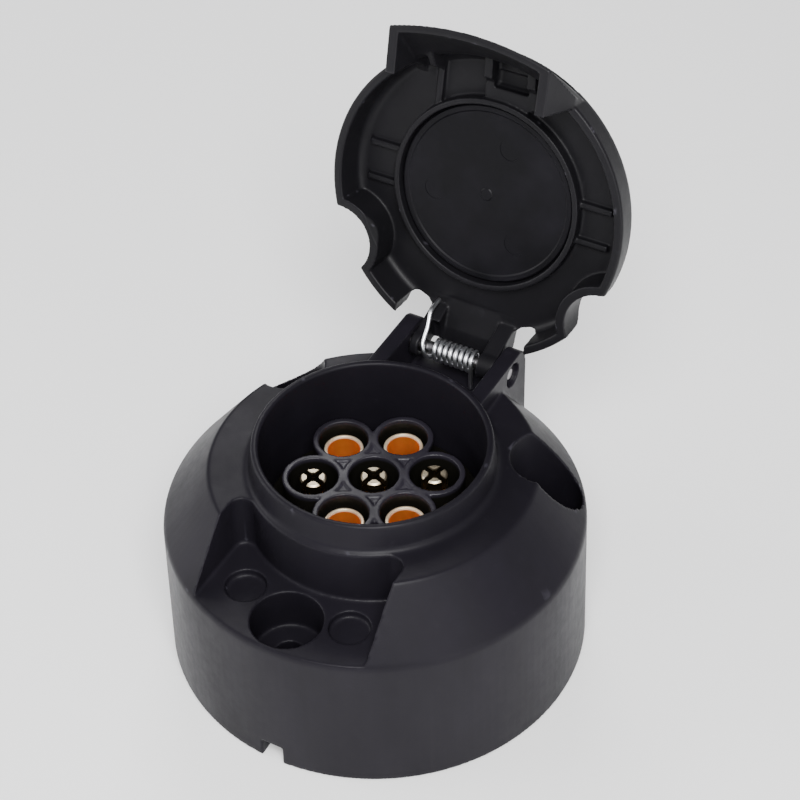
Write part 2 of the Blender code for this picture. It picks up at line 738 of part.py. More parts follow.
def pin_section():
    return terminal_section() + [
        (PIN_CONTACT_RADIUS, TERMINAL_TOP),
        (PIN_CONTACT_RADIUS, PIN_CONTACT_TOP - 0.9 * MM),
        (PIN_CONTACT_RADIUS - 0.5 * MM, PIN_CONTACT_TOP),
        (0, PIN_CONTACT_TOP),
    ]


def make_contact(name, x, y, facing):
    is_pin = name in PIN_PLACES
    bm = turned(pin_section() if is_pin else socket_section(), 20, closed=False)
    bmesh.ops.translate(bm, vec=(x, y, 0), verts=bm.verts)
    kind = "pin_contact" if is_pin else "socket_contact"
    contact = add(f"{kind}_{name}", bm, "brass")
    if is_pin:
        for i in range(2):
            slit = box((-0.35 * MM, -4 * MM, 32.5 * MM), (0.35 * MM, 4 * MM, 42 * MM))
            turn = Matrix.Translation((x, y, 0)) @ Matrix.Rotation(math.radians(75 + 90 * i), 4, "Z")
            bmesh.ops.transform(slit, matrix=turn, verts=slit.verts)
            cut(contact, f"slit_{name}_{i}", slit)
    out = Vector((math.cos(facing), math.sin(facing), 0))
    middle = Vector((x, y, TERMINAL_SCREW_HEIGHT))
    hole = rod(1.35 * MM, middle + 0.8 * MM * out, middle + 4 * MM * out, 12)
    cut(contact, f"terminal_hole_{name}", hole)
    make_screw(f"terminal_screw_{name}", middle, out)


def make_screw(name, middle, out):
    """A slotted screw whose tip starts near the middle point and whose head faces out."""
    tip = 0.9 * MM
    under_head = TERMINAL_RADIUS + GAP
    section = [
        (0, tip),
        (1.0 * MM, tip),
        (1.0 * MM, under_head),
        (1.8 * MM, under_head),
        (1.8 * MM, under_head + 1.2 * MM),
        (1.5 * MM, under_head + 1.5 * MM),
        (0, under_head + 1.5 * MM),
    ]
    turn = Matrix.Translation(middle) @ Vector((0, 0, 1)).rotation_difference(out).to_matrix().to_4x4()
    bm = turned(section, 12, closed=False)
    bmesh.ops.transform(bm, matrix=turn, verts=bm.verts)
    screw = add(name, bm, "plated_steel")
    slit = box((-3 * MM, -0.3 * MM, under_head + 0.9 * MM), (3 * MM, 0.3 * MM, under_head + 3 * MM))
    bmesh.ops.transform(slit, matrix=turn, verts=slit.verts)
    cut(screw, f"{name}_slit", slit)


def make_insert_screw(index, angle):
    """Screws up through the insert's flange into the end of the barrel tube."""
    x, y = on_circle(INSERT_SCREW_CIRCLE, angle)
    head = INSERT_BACK - GAP
    section = [
        (0, 24.8 * MM),
        (0.6 * MM, 24.8 * MM),
        (1.1 * MM, 24.0 * MM),
        (1.1 * MM, head),
        (2.0 * MM, head),
        (2.0 * MM, head - 1.1 * MM),
        (1.6 * MM, head - 1.6 * MM),
        (0, head - 1.6 * MM),
    ]
    bm = turned(section, 12, closed=False)
    bmesh.ops.translate(bm, vec=(x, y, 0), verts=bm.verts)
    screw = add(f"insert_screw_{index}", bm, "plated_steel")
    for i in range(2):
        slit = box((-1.3 * MM, -0.3 * MM, head - 3 * MM), (1.3 * MM, 0.3 * MM, head - 0.8 * MM))
        turn = Matrix.Translation((x, y, 0)) @ Matrix.Rotation(math.radians(90 * i), 4, "Z")
        bmesh.ops.transform(slit, matrix=turn, verts=slit.verts)
        cut(screw, f"insert_screw_cross_{index}_{i}", slit)


def make_rear_boot():
    top = INSERT_BACK - GAP
    section = [
        (BOOT_RADIUS, top),
        (BOOT_RADIUS, top - 1.6 * MM),
        (BOOT_RADIUS - 0.7 * MM, top - 2.0 * MM),
        (BOOT_RADIUS - 0.7 * MM, 6.5 * MM),
        (BOOT_RADIUS - 3.5 * MM, BOOT_END + 1.2 * MM),
        (BOOT_RADIUS - 5.0 * MM, BOOT_END + 0.6 * MM),
        (CABLE_HOLE + 3.0 * MM, BOOT_END + 0.6 * MM),
        (CABLE_HOLE + 2.4 * MM, BOOT_END),
        (CABLE_HOLE, BOOT_END),
        (CABLE_HOLE, BOOT_END + 1.6 * MM),
        (BOOT_RADIUS - 5.6 * MM, BOOT_END + 2.2 * MM),
        (BOOT_RADIUS - 0.7 * MM - BOOT_WALL, 7.4 * MM),
        (BOOT_RADIUS - 0.7 * MM - BOOT_WALL, top),
    ]
    return add("rear_boot", turned(section, 40), "rubber")


def main():
    clear_scene()
    pivot = bpy.data.objects.new("lid_pivot", None)
    bpy.context.scene.collection.objects.link(pivot)
    pivot.location = HINGE
    pivot.rotation_euler = (-LID_OPEN, 0, 0)
    bpy.context.view_layer.update()
    make_housing()
    make_lid(pivot)
    make_lid_disc(pivot)
    make_hinge_pin()
    make_hinge_spring()
    make_insert()
    for name, x, y, facing in contact_places():
        make_contact(name, x, y, facing)
    for index, angle in enumerate(INSERT_SCREW_ANGLES):
        make_insert_screw(index, angle)
    make_rear_boot()


main()
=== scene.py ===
"""Looks of the trailer wiring socket: moulded shells, turned contacts, wound spring and studio.

Shapes are modelled in millimetres and brought to metres when they become pieces. The lid is modelled
shut and then turned open about its hinge.
"""

import json
import math

import bmesh
import bpy
import numpy as np
from mathutils import Matrix, Vector


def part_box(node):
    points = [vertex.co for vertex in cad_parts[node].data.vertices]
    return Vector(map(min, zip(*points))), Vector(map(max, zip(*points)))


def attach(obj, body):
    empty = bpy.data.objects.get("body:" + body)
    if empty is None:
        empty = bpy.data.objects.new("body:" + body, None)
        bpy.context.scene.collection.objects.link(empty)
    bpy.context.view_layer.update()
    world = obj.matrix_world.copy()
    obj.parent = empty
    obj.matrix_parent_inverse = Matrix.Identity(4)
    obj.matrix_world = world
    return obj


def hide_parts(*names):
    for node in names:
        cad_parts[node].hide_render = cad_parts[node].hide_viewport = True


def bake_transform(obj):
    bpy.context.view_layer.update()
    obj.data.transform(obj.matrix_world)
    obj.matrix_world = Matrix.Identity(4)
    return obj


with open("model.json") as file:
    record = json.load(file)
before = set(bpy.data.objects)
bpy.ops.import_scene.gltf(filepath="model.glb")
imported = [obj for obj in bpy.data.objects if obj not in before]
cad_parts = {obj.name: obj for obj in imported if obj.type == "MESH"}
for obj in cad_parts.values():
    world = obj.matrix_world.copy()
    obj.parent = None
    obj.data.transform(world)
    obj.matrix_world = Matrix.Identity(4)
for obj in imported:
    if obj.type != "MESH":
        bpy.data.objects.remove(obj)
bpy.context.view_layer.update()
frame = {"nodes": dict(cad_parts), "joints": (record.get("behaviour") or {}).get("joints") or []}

MM = 0.001
PER_METRE = 1000


def node_box(node):
    low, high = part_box(node)
    return low * PER_METRE, high * PER_METRE


def node_middle(node):
    low, high = node_box(node)
    return (low + high) / 2


# Read from the frame, in millimetres
LID_HINGE = frame["joints"][0]
HINGE = Vector(LID_HINGE["pos_m"]) * PER_METRE
LID_OPEN = -math.radians(LID_HINGE["range_deg"][0])
BASE_RADIUS = node_box("housing")[1].x
RIM_HEIGHT = node_box("housing")[1].z
INSERT_BACK = node_box("contact_insert")[0].z
TOWER_TOP = node_box("contact_insert")[1].z
FLANGE_RADIUS = node_box("contact_insert")[1].x
SOCKET_TOP = node_box("socket_contact_90")[1].z
PIN_CONTACT_TOP = node_box("pin_contact_centre")[1].z
TERMINAL_END = node_box("socket_contact_90")[0].z
BOOT_RADIUS = node_box("rear_boot")[1].x
BOOT_END, BOOT_TOP = (corner.z for corner in node_box("rear_boot"))
PIN_REACH = node_box("hinge_pin")[1].x

# Housing
BARREL_BORE = 21.2
SCREW_CIRCLE = 32.5
SCREW_ANGLES = [math.radians(a) for a in (-90, 30, 150)]
SCREW_HOLE = 2.75
WALL = 2.7
SHOULDER_RADIUS = 30.9
SHOULDER_HEIGHT = 42.7
BARREL_FOOT = 23.3
WALL_TOP = 30.6
CEILING = 28.3
TUBE_RADIUS = 25.6
TUBE_END = 19.0
SLOT_HALF_WIDTH = 18.0
SLOT_FLOOR = 31.0
SLOT_WALL_RADIUS = 24.2
SLOT_CORNER = 2.5
SCREW_LEDGE = 22.0
SIDE_BORE = 7.0
FRONT_BORE = 6.75
SLEEVE_RADIUS = 9.0
PILLAR_RADIUS = 6.2
DIMPLE_PLACE = (11.0, -28.8)
DIMPLE_RADIUS = 3.9
DIMPLE_DEPTH = 1.5
DRAIN_HALF_WIDTH = 2.2
DRAIN_HEIGHT = 4.5

# Hinge
EAR_OUTSIDE = 12.6
EAR_INSIDE = 9.4
EAR_TOP = 47.0
EAR_BACK = 38.4
EAR_ROUND = 3.2
RECESS_FLOOR = 38.0
RECESS_FRONT = 23.4
PIN_RADIUS = 1.2
PIN_HOLE = 1.5
SINK_RADIUS = 2.5
SINK_DEPTH = 1.2
KNUCKLE = 2.6
ARM_INSIDE = 5.6
ARM_OUTSIDE = 9.0
SPRING_WIRE = 0.41
SPRING_RADIUS = 2.0
SPRING_PITCH = 1.15
SPRING_TURNS = 8
SPRING_START = 4.4
SPRING_STEP_OUT = 1.6

# Lid, with its heights given for the lid shut
LID_RADIUS = 30.4
LID_TOP = 52.3
LID_CEILING = 50.3
LID_EDGE = 43.4
LID_SKIRT = 1.8
RING_OUTSIDE = 19.4
RING_INSIDE = 18.3
RING_EDGE = 47.9
SCALLOP = SIDE_BORE + 0.2
SCALLOP_SHIFTS = [(0.5, 1.2), (0, 0)]
BACK_STRETCH = 0.06
VISOR_HALF_WIDTH = 17.4
VISOR_EDGE = 36.1
VISOR_LEAN_IN = 2.7
CHEEK_WALL = 1.9
CHEEK_BACK = -24.4
CATCH_WALLS = (-1.9, 6.9)
NOTCH = (8.9, 14.1, 25.3)

# Contact insert
PLUG_RADIUS = 20.9
PLUG_TOP = 30.0
TOWER_RADIUS = 5.8
WELL_RADIUS = 4.75
WELL_FLOOR = 31.5
WEB_TOP = 39.1
WEB_RADIUS = 12.2
SOCKET_RADIUS = 3.8
SOCKET_BORE = 3.1
PIN_CONTACT_RADIUS = 2.5
TERMINAL_RADIUS = 2.9
TERMINAL_TOP = 16.0
INSERT_SCREW_CIRCLE = 23.3
INSERT_SCREW_ANGLES = [math.radians(a) for a in (90, 210, 330)]
PIN_CONTACTS = ("centre", "30", "210")
SOCKET_CONTACTS = ("90", "150", "270", "330")

# Rear boot
BOOT_WALL = 1.6
CABLE_HOLE = 6.0

ROUND = 144
SMALL_ROUND = 48
FAR = 60
FINE = 0.3


# --- Shapes -------------------------------------------------------------------------------


def rounded(corners, steps=5):
    """Points of a closed outline whose corners are (x, y) or (x, y, radius of the round)."""
    points = []
    for i, corner in enumerate(corners):
        here = Vector(corner[:2])
        if len(corner) == 2:
            points.append(tuple(here))
            continue
        before = (Vector(corners[i - 1][:2]) - here).normalized()
        after = (Vector(corners[(i + 1) % len(corners)][:2]) - here).normalized()
        half = before.angle(after) / 2
        reach = corner[2] / math.tan(half)
        centre = here + (before + after).normalized() * corner[2] / math.sin(half)
        start = here + before * reach - centre
        end = here + after * reach - centre
        sweep = start.angle(end)
        for k in range(steps + 1):
            share = k / steps
            spoke = start * math.sin((1 - share) * sweep) + end * math.sin(share * sweep)
            points.append(tuple(centre + spoke / math.sin(sweep)))
    return points


def arc(cx, cy, radius, start, end, steps):
    """Points along an arc, with the angles in degrees."""
    points = []
    for i in range(steps + 1):
        angle = math.radians(start + (end - start) * i / steps)
        points.append((cx + radius * math.cos(angle), cy + radius * math.sin(angle)))
    return points


def on_circle(radius, angle):
    return radius * math.cos(angle), radius * math.sin(angle)


def lathe(section, steps=ROUND):
    """Turns (radius, height) points about Z. A section that starts on the axis also ends on it."""
    bm = bmesh.new()
    verts = [bm.verts.new((r, 0, z)) for r, z in section]
    edges = [bm.edges.new(pair) for pair in zip(verts, verts[1:])]
    if section[0][0] > 0:
        edges.append(bm.edges.new((verts[-1], verts[0])))
    bmesh.ops.spin(
        bm,
        geom=verts + edges,
        cent=(0, 0, 0),
        axis=(0, 0, 1),
        angle=math.tau,
        steps=steps,
        use_merge=True,
    )
    bmesh.ops.remove_doubles(bm, verts=bm.verts, dist=1e-4)
    bmesh.ops.recalc_face_normals(bm, faces=bm.faces)
    return bm


def rod(radius, start, end, steps=SMALL_ROUND):
    """A cylinder between two points."""
    start = Vector(start)
    end = Vector(end)
    along = end - start
    turn = Vector((0, 0, 1)).rotation_difference(along).to_matrix().to_4x4()
    bm = bmesh.new()
    bmesh.ops.create_cone(
        bm,
        cap_ends=True,
        segments=steps,
        radius1=radius,
        radius2=radius,
        depth=along.length,
        matrix=Matrix.Translation((start + end) / 2) @ turn,
    )
    return bm


def upright(radius, x, y, low, high, steps=SMALL_ROUND):
    return rod(radius, (x, y, low), (x, y, high), steps)


def block(low, high):
    low = Vector(low)
    high = Vector(high)
    bm = bmesh.new()
    place = Matrix.Translation((low + high) / 2) @ Matrix.Diagonal((*(high - low), 1))
    bmesh.ops.create_cube(bm, size=1, matrix=place)
    return bm


def prism(outline, offset):
    """Extrudes a closed outline of 3-D points by the offset."""
    bm = bmesh.new()
    face = bm.faces.new([bm.verts.new(point) for point in outline])
    made = bmesh.ops.extrude_face_region(bm, geom=[face])
    moved = [item for item in made["geom"] if isinstance(item, bmesh.types.BMVert)]
    bmesh.ops.translate(bm, vec=offset, verts=moved)
    bmesh.ops.recalc_face_normals(bm, faces=bm.faces)
    return bm


def slab(points, low_x, high_x):
    """A slab whose outline is drawn in the YZ plane."""
    return prism([(low_x, y, z) for y, z in points], (high_x - low_x, 0, 0))


def lofted(rings):
    """Skins closed rings of 3-D points that all have the same count, and caps both ends."""
    bm = bmesh.new()
    rows = [[bm.verts.new(point) for point in ring] for ring in rings]
    for upper, lower in zip(rows, rows[1:]):
        for i in range(len(upper)):
            j = (i + 1) % len(upper)
            bm.faces.new((upper[i], upper[j], lower[j], lower[i]))
    bm.faces.new(rows[0])
    bm.faces.new(rows[-1])
    bmesh.ops.recalc_face_normals(bm, faces=bm.faces)
    return bm


def moved(bm, matrix):
    bmesh.ops.transform(bm, matrix=matrix, verts=bm.verts)
    return bm


def together(parts):
    """One bmesh that holds several, which don't overlap."""
    whole = bmesh.new()
    for part in parts:
        mesh = bpy.data.meshes.new("part")
        part.to_mesh(mesh)
        part.free()
        whole.from_mesh(mesh)
        bpy.data.meshes.remove(mesh)
    return whole


def temporary(bm):
    mesh = bpy.data.meshes.new("temporary")
    bm.to_mesh(mesh)
    bm.free()
    obj = bpy.data.objects.new("temporary", mesh)
    bpy.context.scene.collection.objects.link(obj)
    return obj


def evaluated(obj):
    """The mesh that the object's modifiers make."""
    graph = bpy.context.evaluated_depsgraph_get()
    return bpy.data.meshes.new_from_object(obj.evaluated_get(graph))


def remove(*objects):
    for obj in objects:
        bpy.data.objects.remove(obj, do_unlink=True)


def built(base, steps):
    """Adds to the base, or cuts from it, each (operation, bmesh) of steps in turn."""
    target = temporary(base)
    helpers = []
    for operation, bm in steps:
        helper = temporary(bm)
        modifier = target.modifiers.new("step", "BOOLEAN")
        modifier.operation = operation
        modifier.object = helper
        modifier.solver = "EXACT"
        helpers.append(helper)
    mesh = evaluated(target)
    remove(target, *helpers)
    bm = bmesh.new()
    bm.from_mesh(mesh)
    bpy.data.meshes.remove(mesh)
    if not bm.faces:
        raise RuntimeError("a Boolean left nothing")
    return bm


def relaxed(points, edges, rounds):
    """Taubin smoothing: it rounds the edges off without shrinking the shape."""
    ends = np.concatenate([edges[:, 0], edges[:, 1]])
    others = np.concatenate([edges[:, 1], edges[:, 0]])
    count = len(points)
    neighbours = np.maximum(np.bincount(ends, minlength=count), 1)
    for i in range(2 * rounds):
        step = 0.5 if i % 2 == 0 else -0.53
        middle = np.empty_like(points)
        for axis in range(3):
            total = np.bincount(ends, weights=points[others, axis], minlength=count)
            middle[:, axis] = total / neighbours
        points = points + step * (middle - points)
    return points


def moulded(bm, voxel, rounds, most_triangles):
    """Turns sharp solids into one even skin with the small rounds of a moulding."""
    obj = temporary(bm)
    remesh = obj.modifiers.new("remesh", "REMESH")
    remesh.mode = "VOXEL"
    remesh.voxel_size = voxel
    mesh = evaluated(obj)
    remove(obj)
    count = len(mesh.vertices)
    points = np.empty(count * 3)
    mesh.vertices.foreach_get("co", points)
    edges = np.empty(len(mesh.edges) * 2, np.int64)
    mesh.edges.foreach_get("vertices", edges)
    points = relaxed(points.reshape(-1, 3), edges.reshape(-1, 2), rounds)
    mesh.vertices.foreach_set("co", points.ravel().astype(np.float32))
    mesh.update()
    triangles = 2 * len(mesh.polygons)
    if triangles > most_triangles:
        obj = bpy.data.objects.new("dense", mesh)
        bpy.context.scene.collection.objects.link(obj)
        thin = obj.modifiers.new("thin", "DECIMATE")
        thin.ratio = most_triangles / triangles
        thinned = evaluated(obj)
        remove(obj)
        bpy.data.meshes.remove(mesh)
        mesh = thinned
    return mesh


def mesh_of(bm):
    mesh = bpy.data.meshes.new("piece")
    bm.to_mesh(mesh)
    bm.free()
    return mesh


def piece(name, mesh, finish, body, replaced=(), turned_open=False, sharp=None):
    """Makes a piece of the object from a mesh in millimetres."""
    place = Matrix.Scale(MM, 4)
    if turned_open:
        place = place @ Matrix.Translation(HINGE) @ Matrix.Rotation(-LID_OPEN, 4, "X")
        place = place @ Matrix.Translation(-HINGE)
    mesh.name = name
    mesh.transform(place)
    mesh.materials.clear()
    mesh.materials.append(finish)
    mesh.shade_smooth()
    if sharp:
        mesh.set_sharp_from_angle(angle=math.radians(sharp))
    obj = bpy.data.objects.new(name, mesh)
    bpy.context.scene.collection.objects.link(obj)
    if body:
        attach(obj, body)
    if replaced:
        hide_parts(*replaced)
    return obj


# --- Materials ----------------------------------------------------------------------------


class Nodes:
    """A material under construction, with short ways to add nodes to its tree."""

    def __init__(self, name, slot_name):
        self.material = bpy.data.materials.new(name)
        self.material.use_nodes = True
        self.material["slot"] = slot_name
        self.tree = self.material.node_tree
        self.shader = self.tree.nodes["Principled BSDF"]
        self.place = self.tree.nodes.new("ShaderNodeTexCoord").outputs["Object"]

    def link(self, output, target):
        self.tree.links.new(output, target)

    def noise(self, scale, detail=3.0, stretch=(1, 1, 1), roughness=0.55):
        mapping = self.tree.nodes.new("ShaderNodeMapping")
        mapping.inputs["Scale"].default_value = stretch
        self.link(self.place, mapping.inputs["Vector"])
        node = self.tree.nodes.new("ShaderNodeTexNoise")
        node.inputs["Scale"].default_value = scale
        node.inputs["Detail"].default_value = detail
        node.inputs["Roughness"].default_value = roughness
        self.link(mapping.outputs["Vector"], node.inputs["Vector"])
        return node.outputs["Fac"]

    def span(self, value, low, high, to_low, to_high):
        node = self.tree.nodes.new("ShaderNodeMapRange")
        node.clamp = True
        for socket, number in zip(node.inputs[1:5], (low, high, to_low, to_high)):
            socket.default_value = number
        self.link(value, node.inputs["Value"])
        return node.outputs["Result"]

    def mix(self, share, first, second, blend="MIX"):
        node = self.tree.nodes.new("ShaderNodeMix")
        node.data_type = "RGBA"
        node.blend_type = blend
        for socket, colour in ((node.inputs[6], first), (node.inputs[7], second)):
            if isinstance(colour, tuple):
                socket.default_value = (*colour, 1)
            else:
                self.link(colour, socket)
        if isinstance(share, float):
            node.inputs[0].default_value = share
        else:
            self.link(share, node.inputs[0])
        return node.outputs[2]

    def math(self, operation, first, second):
        node = self.tree.nodes.new("ShaderNodeMath")
        node.operation = operation
        for socket, value in zip(node.inputs, (first, second)):
            if isinstance(value, (int, float)):
                socket.default_value = value
            else:
                self.link(value, socket)
        return node.outputs[0]

    def above(self, height, blur=0.3):
        """1 above a height given in millimetres, 0 below it."""
        split = self.tree.nodes.new("ShaderNodeSeparateXYZ")
        self.link(self.place, split.inputs["Vector"])
        return self.span(split.outputs["Z"], (height - blur) * MM, (height + blur) * MM, 0, 1)

    def edges(self, low, high):
        """1 on convex edges, 0 on flat and hollow places."""
        geometry = self.tree.nodes.new("ShaderNodeNewGeometry")
        return self.span(geometry.outputs["Pointiness"], low, high, 0, 1)

    def bump(self, height, strength, distance, below=None):
        node = self.tree.nodes.new("ShaderNodeBump")
        node.inputs["Strength"].default_value = strength
        node.inputs["Distance"].default_value = distance
        self.link(height, node.inputs["Height"])
        if below:
            self.link(below, node.inputs["Normal"])
        return node.outputs["Normal"]

    def set(self, **values):
        """Sets or links the shader's sockets, named with _ for a space."""
        for name, value in values.items():
            socket = self.shader.inputs[name.replace("_", " ")]
            if isinstance(value, tuple):
                socket.default_value = (*value, 1)
            elif isinstance(value, (int, float)):
                socket.default_value = value
            else:
                self.link(value, socket)
        return self.material


def plastic(name, slot_name, dark, light, worn_and_highlight, roughness, shine, grain=0.16, deep=None):
    """Moulded black plastic: spark-eroded grain, faint flow marks, dust, and convex edges lightened partly
    as rubbing and partly as a painted highlight.

    Below the height deep, if it is given, the plastic is painted darker and duller: painted shade down in
    the wells.
    """
    n = Nodes(name, slot_name)
    flow = n.noise(55, 4, (1, 1, 0.45))
    dust = n.noise(420, 6, roughness=0.7)
    speck = n.noise(2600, 2)
    colour = n.mix(n.span(flow, 0.35, 0.68, 0, 1), dark, light)
    colour = n.mix(n.span(dust, 0.60, 0.78, 0, 0.15), colour, worn_and_highlight)
    # Painted highlight, partly real rubbing: convex edges are lightened towards the pale colour, as edges
    # that catch the light.
    wear_and_edge_highlight = n.math("MULTIPLY", n.edges(0.535, 0.66), n.span(dust, 0.30, 0.62, 0.45, 1))
    colour = n.mix(wear_and_edge_highlight, colour, worn_and_highlight)
    # Painted shade: below the height deep the colour is darkened and the sheen lowered, as the wells lie in
    # shade.
    if deep:
        top = n.above(deep)
        colour = n.mix(top, (0.0050, 0.0046, 0.0036), colour)
        shine = n.span(top, 0, 1, 0.15, shine)
    gloss = n.span(flow, 0.3, 0.7, roughness + 0.05, roughness - 0.05)
    gloss = n.math("SUBTRACT", gloss, n.math("MULTIPLY", wear_and_edge_highlight, 0.10))
    gloss = n.math("ADD", gloss, n.span(dust, 0.4, 0.8, -0.03, 0.06))
    fine = n.bump(speck, grain, 0.00006)
    normal = n.bump(dust, grain * 0.6, 0.00008, fine)
    return n.set(Base_Color=colour, Roughness=gloss, Specular_IOR_Level=shine, Normal=normal)


def turned_metal(name, slot_name, bright, deep, roughness, rim_highlight, rim_height, below=1.0, metallic=1.0):
    """Turned metal: rings from the tool, a warm tarnish in patches, a painted highlight at the top, and
    painted shade down the sides where below is under 1.
    """
    n = Nodes(name, slot_name)
    rings = n.noise(900, 2, (0.05, 0.05, 1))
    tarnish = n.noise(260, 4)
    colour = n.mix(n.span(tarnish, 0.40, 0.75, 0, 0.7), bright, deep)
    top = n.above(rim_height, 0.12)
    # Painted shade: below the given height the colour is darkened towards black by 1 - below; the pin
    # contacts use it.
    colour = n.mix(n.span(top, 0, 1, 1 - below, 0), colour, (0.01, 0.008, 0.006))
    # Painted highlight: above the given height the colour turns to the pale highlight colour, as if the top
    # edge caught the light.
    colour = n.mix(top, colour, n.mix(n.span(tarnish, 0.3, 0.7, 0, 0.35), rim_highlight, bright))
    gloss = n.span(rings, 0.3, 0.7, roughness - 0.05, roughness + 0.06)
    gloss = n.math("ADD", gloss, n.span(top, 0, 1, 0, 0.16))
    normal = n.bump(rings, 0.08, 0.00003)
    return n.set(Base_Color=colour, Roughness=gloss, Metallic=metallic, Normal=normal)


def drawn_wire(name, slot_name, bright, dull, roughness):
    """Plated steel wire and pins: bright, with a slight clouding and draw lines."""
    n = Nodes(name, slot_name)
    cloud = n.noise(160, 3)
    lines = n.noise(3200, 2, (0.12, 1, 1))
    colour = n.mix(n.span(cloud, 0.42, 0.70, 0, 0.6), bright, dull)
    gloss = n.span(cloud, 0.35, 0.75, roughness - 0.03, roughness + 0.05)
    normal = n.bump(lines, 0.05, 0.00002)
    return n.set(Base_Color=colour, Roughness=gloss, Metallic=1.0, Normal=normal)


def rubber(name, slot_name, dark, bloom, roughness, shine):
    """Black rubber with a dull bloom and a soft, slightly uneven skin."""
    n = Nodes(name, slot_name)
    cloud = n.noise(90, 5)
    skin = n.noise(1500, 3)
    colour = n.mix(n.span(cloud, 0.40, 0.72, 0, 1), dark, bloom)
    gloss = n.span(cloud, 0.3, 0.7, roughness - 0.06, roughness + 0.08)
    normal = n.bump(skin, 0.12, 0.00006)
    return n.set(Base_Color=colour, Roughness=gloss, Specular_IOR_Level=shine, Normal=normal)


def make_finishes():
    return {
        "housing": plastic(
            "housing_plastic",
            "moulded_black",
            dark=(0.0068, 0.0060, 0.0086),
            light=(0.0100, 0.0088, 0.0124),
            worn_and_highlight=(0.034, 0.032, 0.041),
            roughness=0.45,
            shine=0.11,
        ),
        "lid": plastic(
            "lid_plastic",
            "moulded_black",
            dark=(0.0050, 0.0048, 0.0058),
            light=(0.0080, 0.0075, 0.0092),
            worn_and_highlight=(0.038, 0.036, 0.044),
            roughness=0.46,
            shine=0.15,
        ),
        "insert": plastic(
            "insert_plastic",
            "insert_black",
            dark=(0.0120, 0.0105, 0.0150),
            light=(0.0190, 0.0165, 0.0240),
            worn_and_highlight=(0.0260, 0.0230, 0.0330),
            roughness=0.40,
            shine=0.32,
            grain=0.10,
            # Painted shade in the wells, below the top of the web.
            deep=WEB_TOP - 0.5,
        ),
        "brass": turned_metal(
            "turned_brass",
            "brass",
            bright=(0.95, 0.36, 0.06),
            deep=(0.74, 0.22, 0.03),
            roughness=0.36,
            metallic=0.82,
            # Painted highlight colour for the socket's top edge.
            rim_highlight=(0.96, 0.86, 0.66),
            rim_height=SOCKET_TOP - 0.45,
        ),
        "pin_brass": turned_metal(
            "pale_brass",
            "brass",
            bright=(0.72, 0.52, 0.28),
            deep=(0.58, 0.38, 0.18),
            roughness=0.28,
            # Painted highlight colour for the pin's top.
            rim_highlight=(0.62, 0.55, 0.42),
            rim_height=PIN_CONTACT_TOP - 0.30,
            # Painted shade down the pin's sides in its well.
            below=0.45,
        ),
        "steel": drawn_wire("plated_wire", "plated_steel", (0.86, 0.87, 0.90), (0.66, 0.67, 0.70), 0.30),
        "pin_steel": drawn_wire("dull_steel", "plated_steel", (0.30, 0.29, 0.30), (0.17, 0.16, 0.17), 0.34),
        "disc": rubber(
            "disc_rubber",
            "rubber",
            dark=(0.0034, 0.0032, 0.0042),
            bloom=(0.0070, 0.0064, 0.0086),
            roughness=0.42,
            shine=0.11,
        ),
        "boot": rubber(
            "boot_rubber",
            "rubber",
            dark=(0.0100, 0.0095, 0.0105),
            bloom=(0.0180, 0.0170, 0.0190),
            roughness=0.60,
            shine=0.35,
        ),
    }


# --- Housing ------------------------------------------------------------------------------


def housing_section():
    """Half section of the housing, down the outside and back up the inside."""
    return rounded(
        [
            (BARREL_BORE + 1.30, RIM_HEIGHT, 0.40),
            (BARREL_BORE + 1.75, SHOULDER_HEIGHT + 2.2, 1.0),
            (BARREL_FOOT, SHOULDER_HEIGHT, 1.3),
            (SHOULDER_RADIUS, SHOULDER_HEIGHT, 0.9),
            (BASE_RADIUS - 0.72, WALL_TOP, 2.6),
            (BASE_RADIUS, 0, 0.4),
            (BASE_RADIUS - WALL, 0, 0.3),
            (BASE_RADIUS - WALL - 0.7, CEILING, 1.5),
            (TUBE_RADIUS, CEILING, 1.0),
            (TUBE_RADIUS, TUBE_END, 0.2),
            (BARREL_BORE, TUBE_END, 0.2),
            (BARREL_BORE, RIM_HEIGHT, 0.40),
        ]
    )


def slot_outline():
    """Plan of the front slot: straight sides, rounded corners and the barrel's round wall."""
    centre_x = SLOT_HALF_WIDTH - SLOT_CORNER
    centre_y = -math.sqrt((SLOT_WALL_RADIUS + SLOT_CORNER) ** 2 - centre_x**2)
    lean = math.degrees(math.atan2(-centre_y, centre_x))
    corner = arc(centre_x, centre_y, SLOT_CORNER, 0, 180 - lean, 8)
    wall = arc(0, 0, SLOT_WALL_RADIUS, -lean, lean - 180, 40)
    other = [(-x, y) for x, y in reversed(corner)]
    front = [(-SLOT_HALF_WIDTH, -FAR), (SLOT_HALF_WIDTH, -FAR)]
    return corner + wall[1:-1] + other + front


def ear_profile():
    """Side view of the hinge block, with its upper back corner rounded."""
    foot = CEILING + 0.4
    return rounded([(15, foot), (EAR_BACK, foot), (EAR_BACK, EAR_TOP, EAR_ROUND), (15, EAR_TOP)], 10)


def hinge_block():
    front = upright(BARREL_BORE + 0.7, 0, 0, 20, FAR, ROUND)
    return built(slab(ear_profile(), -EAR_OUTSIDE, EAR_OUTSIDE), [("DIFFERENCE", front)])


def screw_places():
    return [on_circle(SCREW_CIRCLE, angle) for angle in SCREW_ANGLES]


def screw_sleeves():
    """The walls round the three screw bores, cut to the housing's outline."""
    walls = [upright(SLEEVE_RADIUS, x, y, SCREW_LEDGE - 2.5, CEILING + 0.5) for x, y in screw_places()]
    return built(together(walls), [("INTERSECT", upright(BASE_RADIUS - 1.6, 0, 0, 0, FAR, ROUND))])


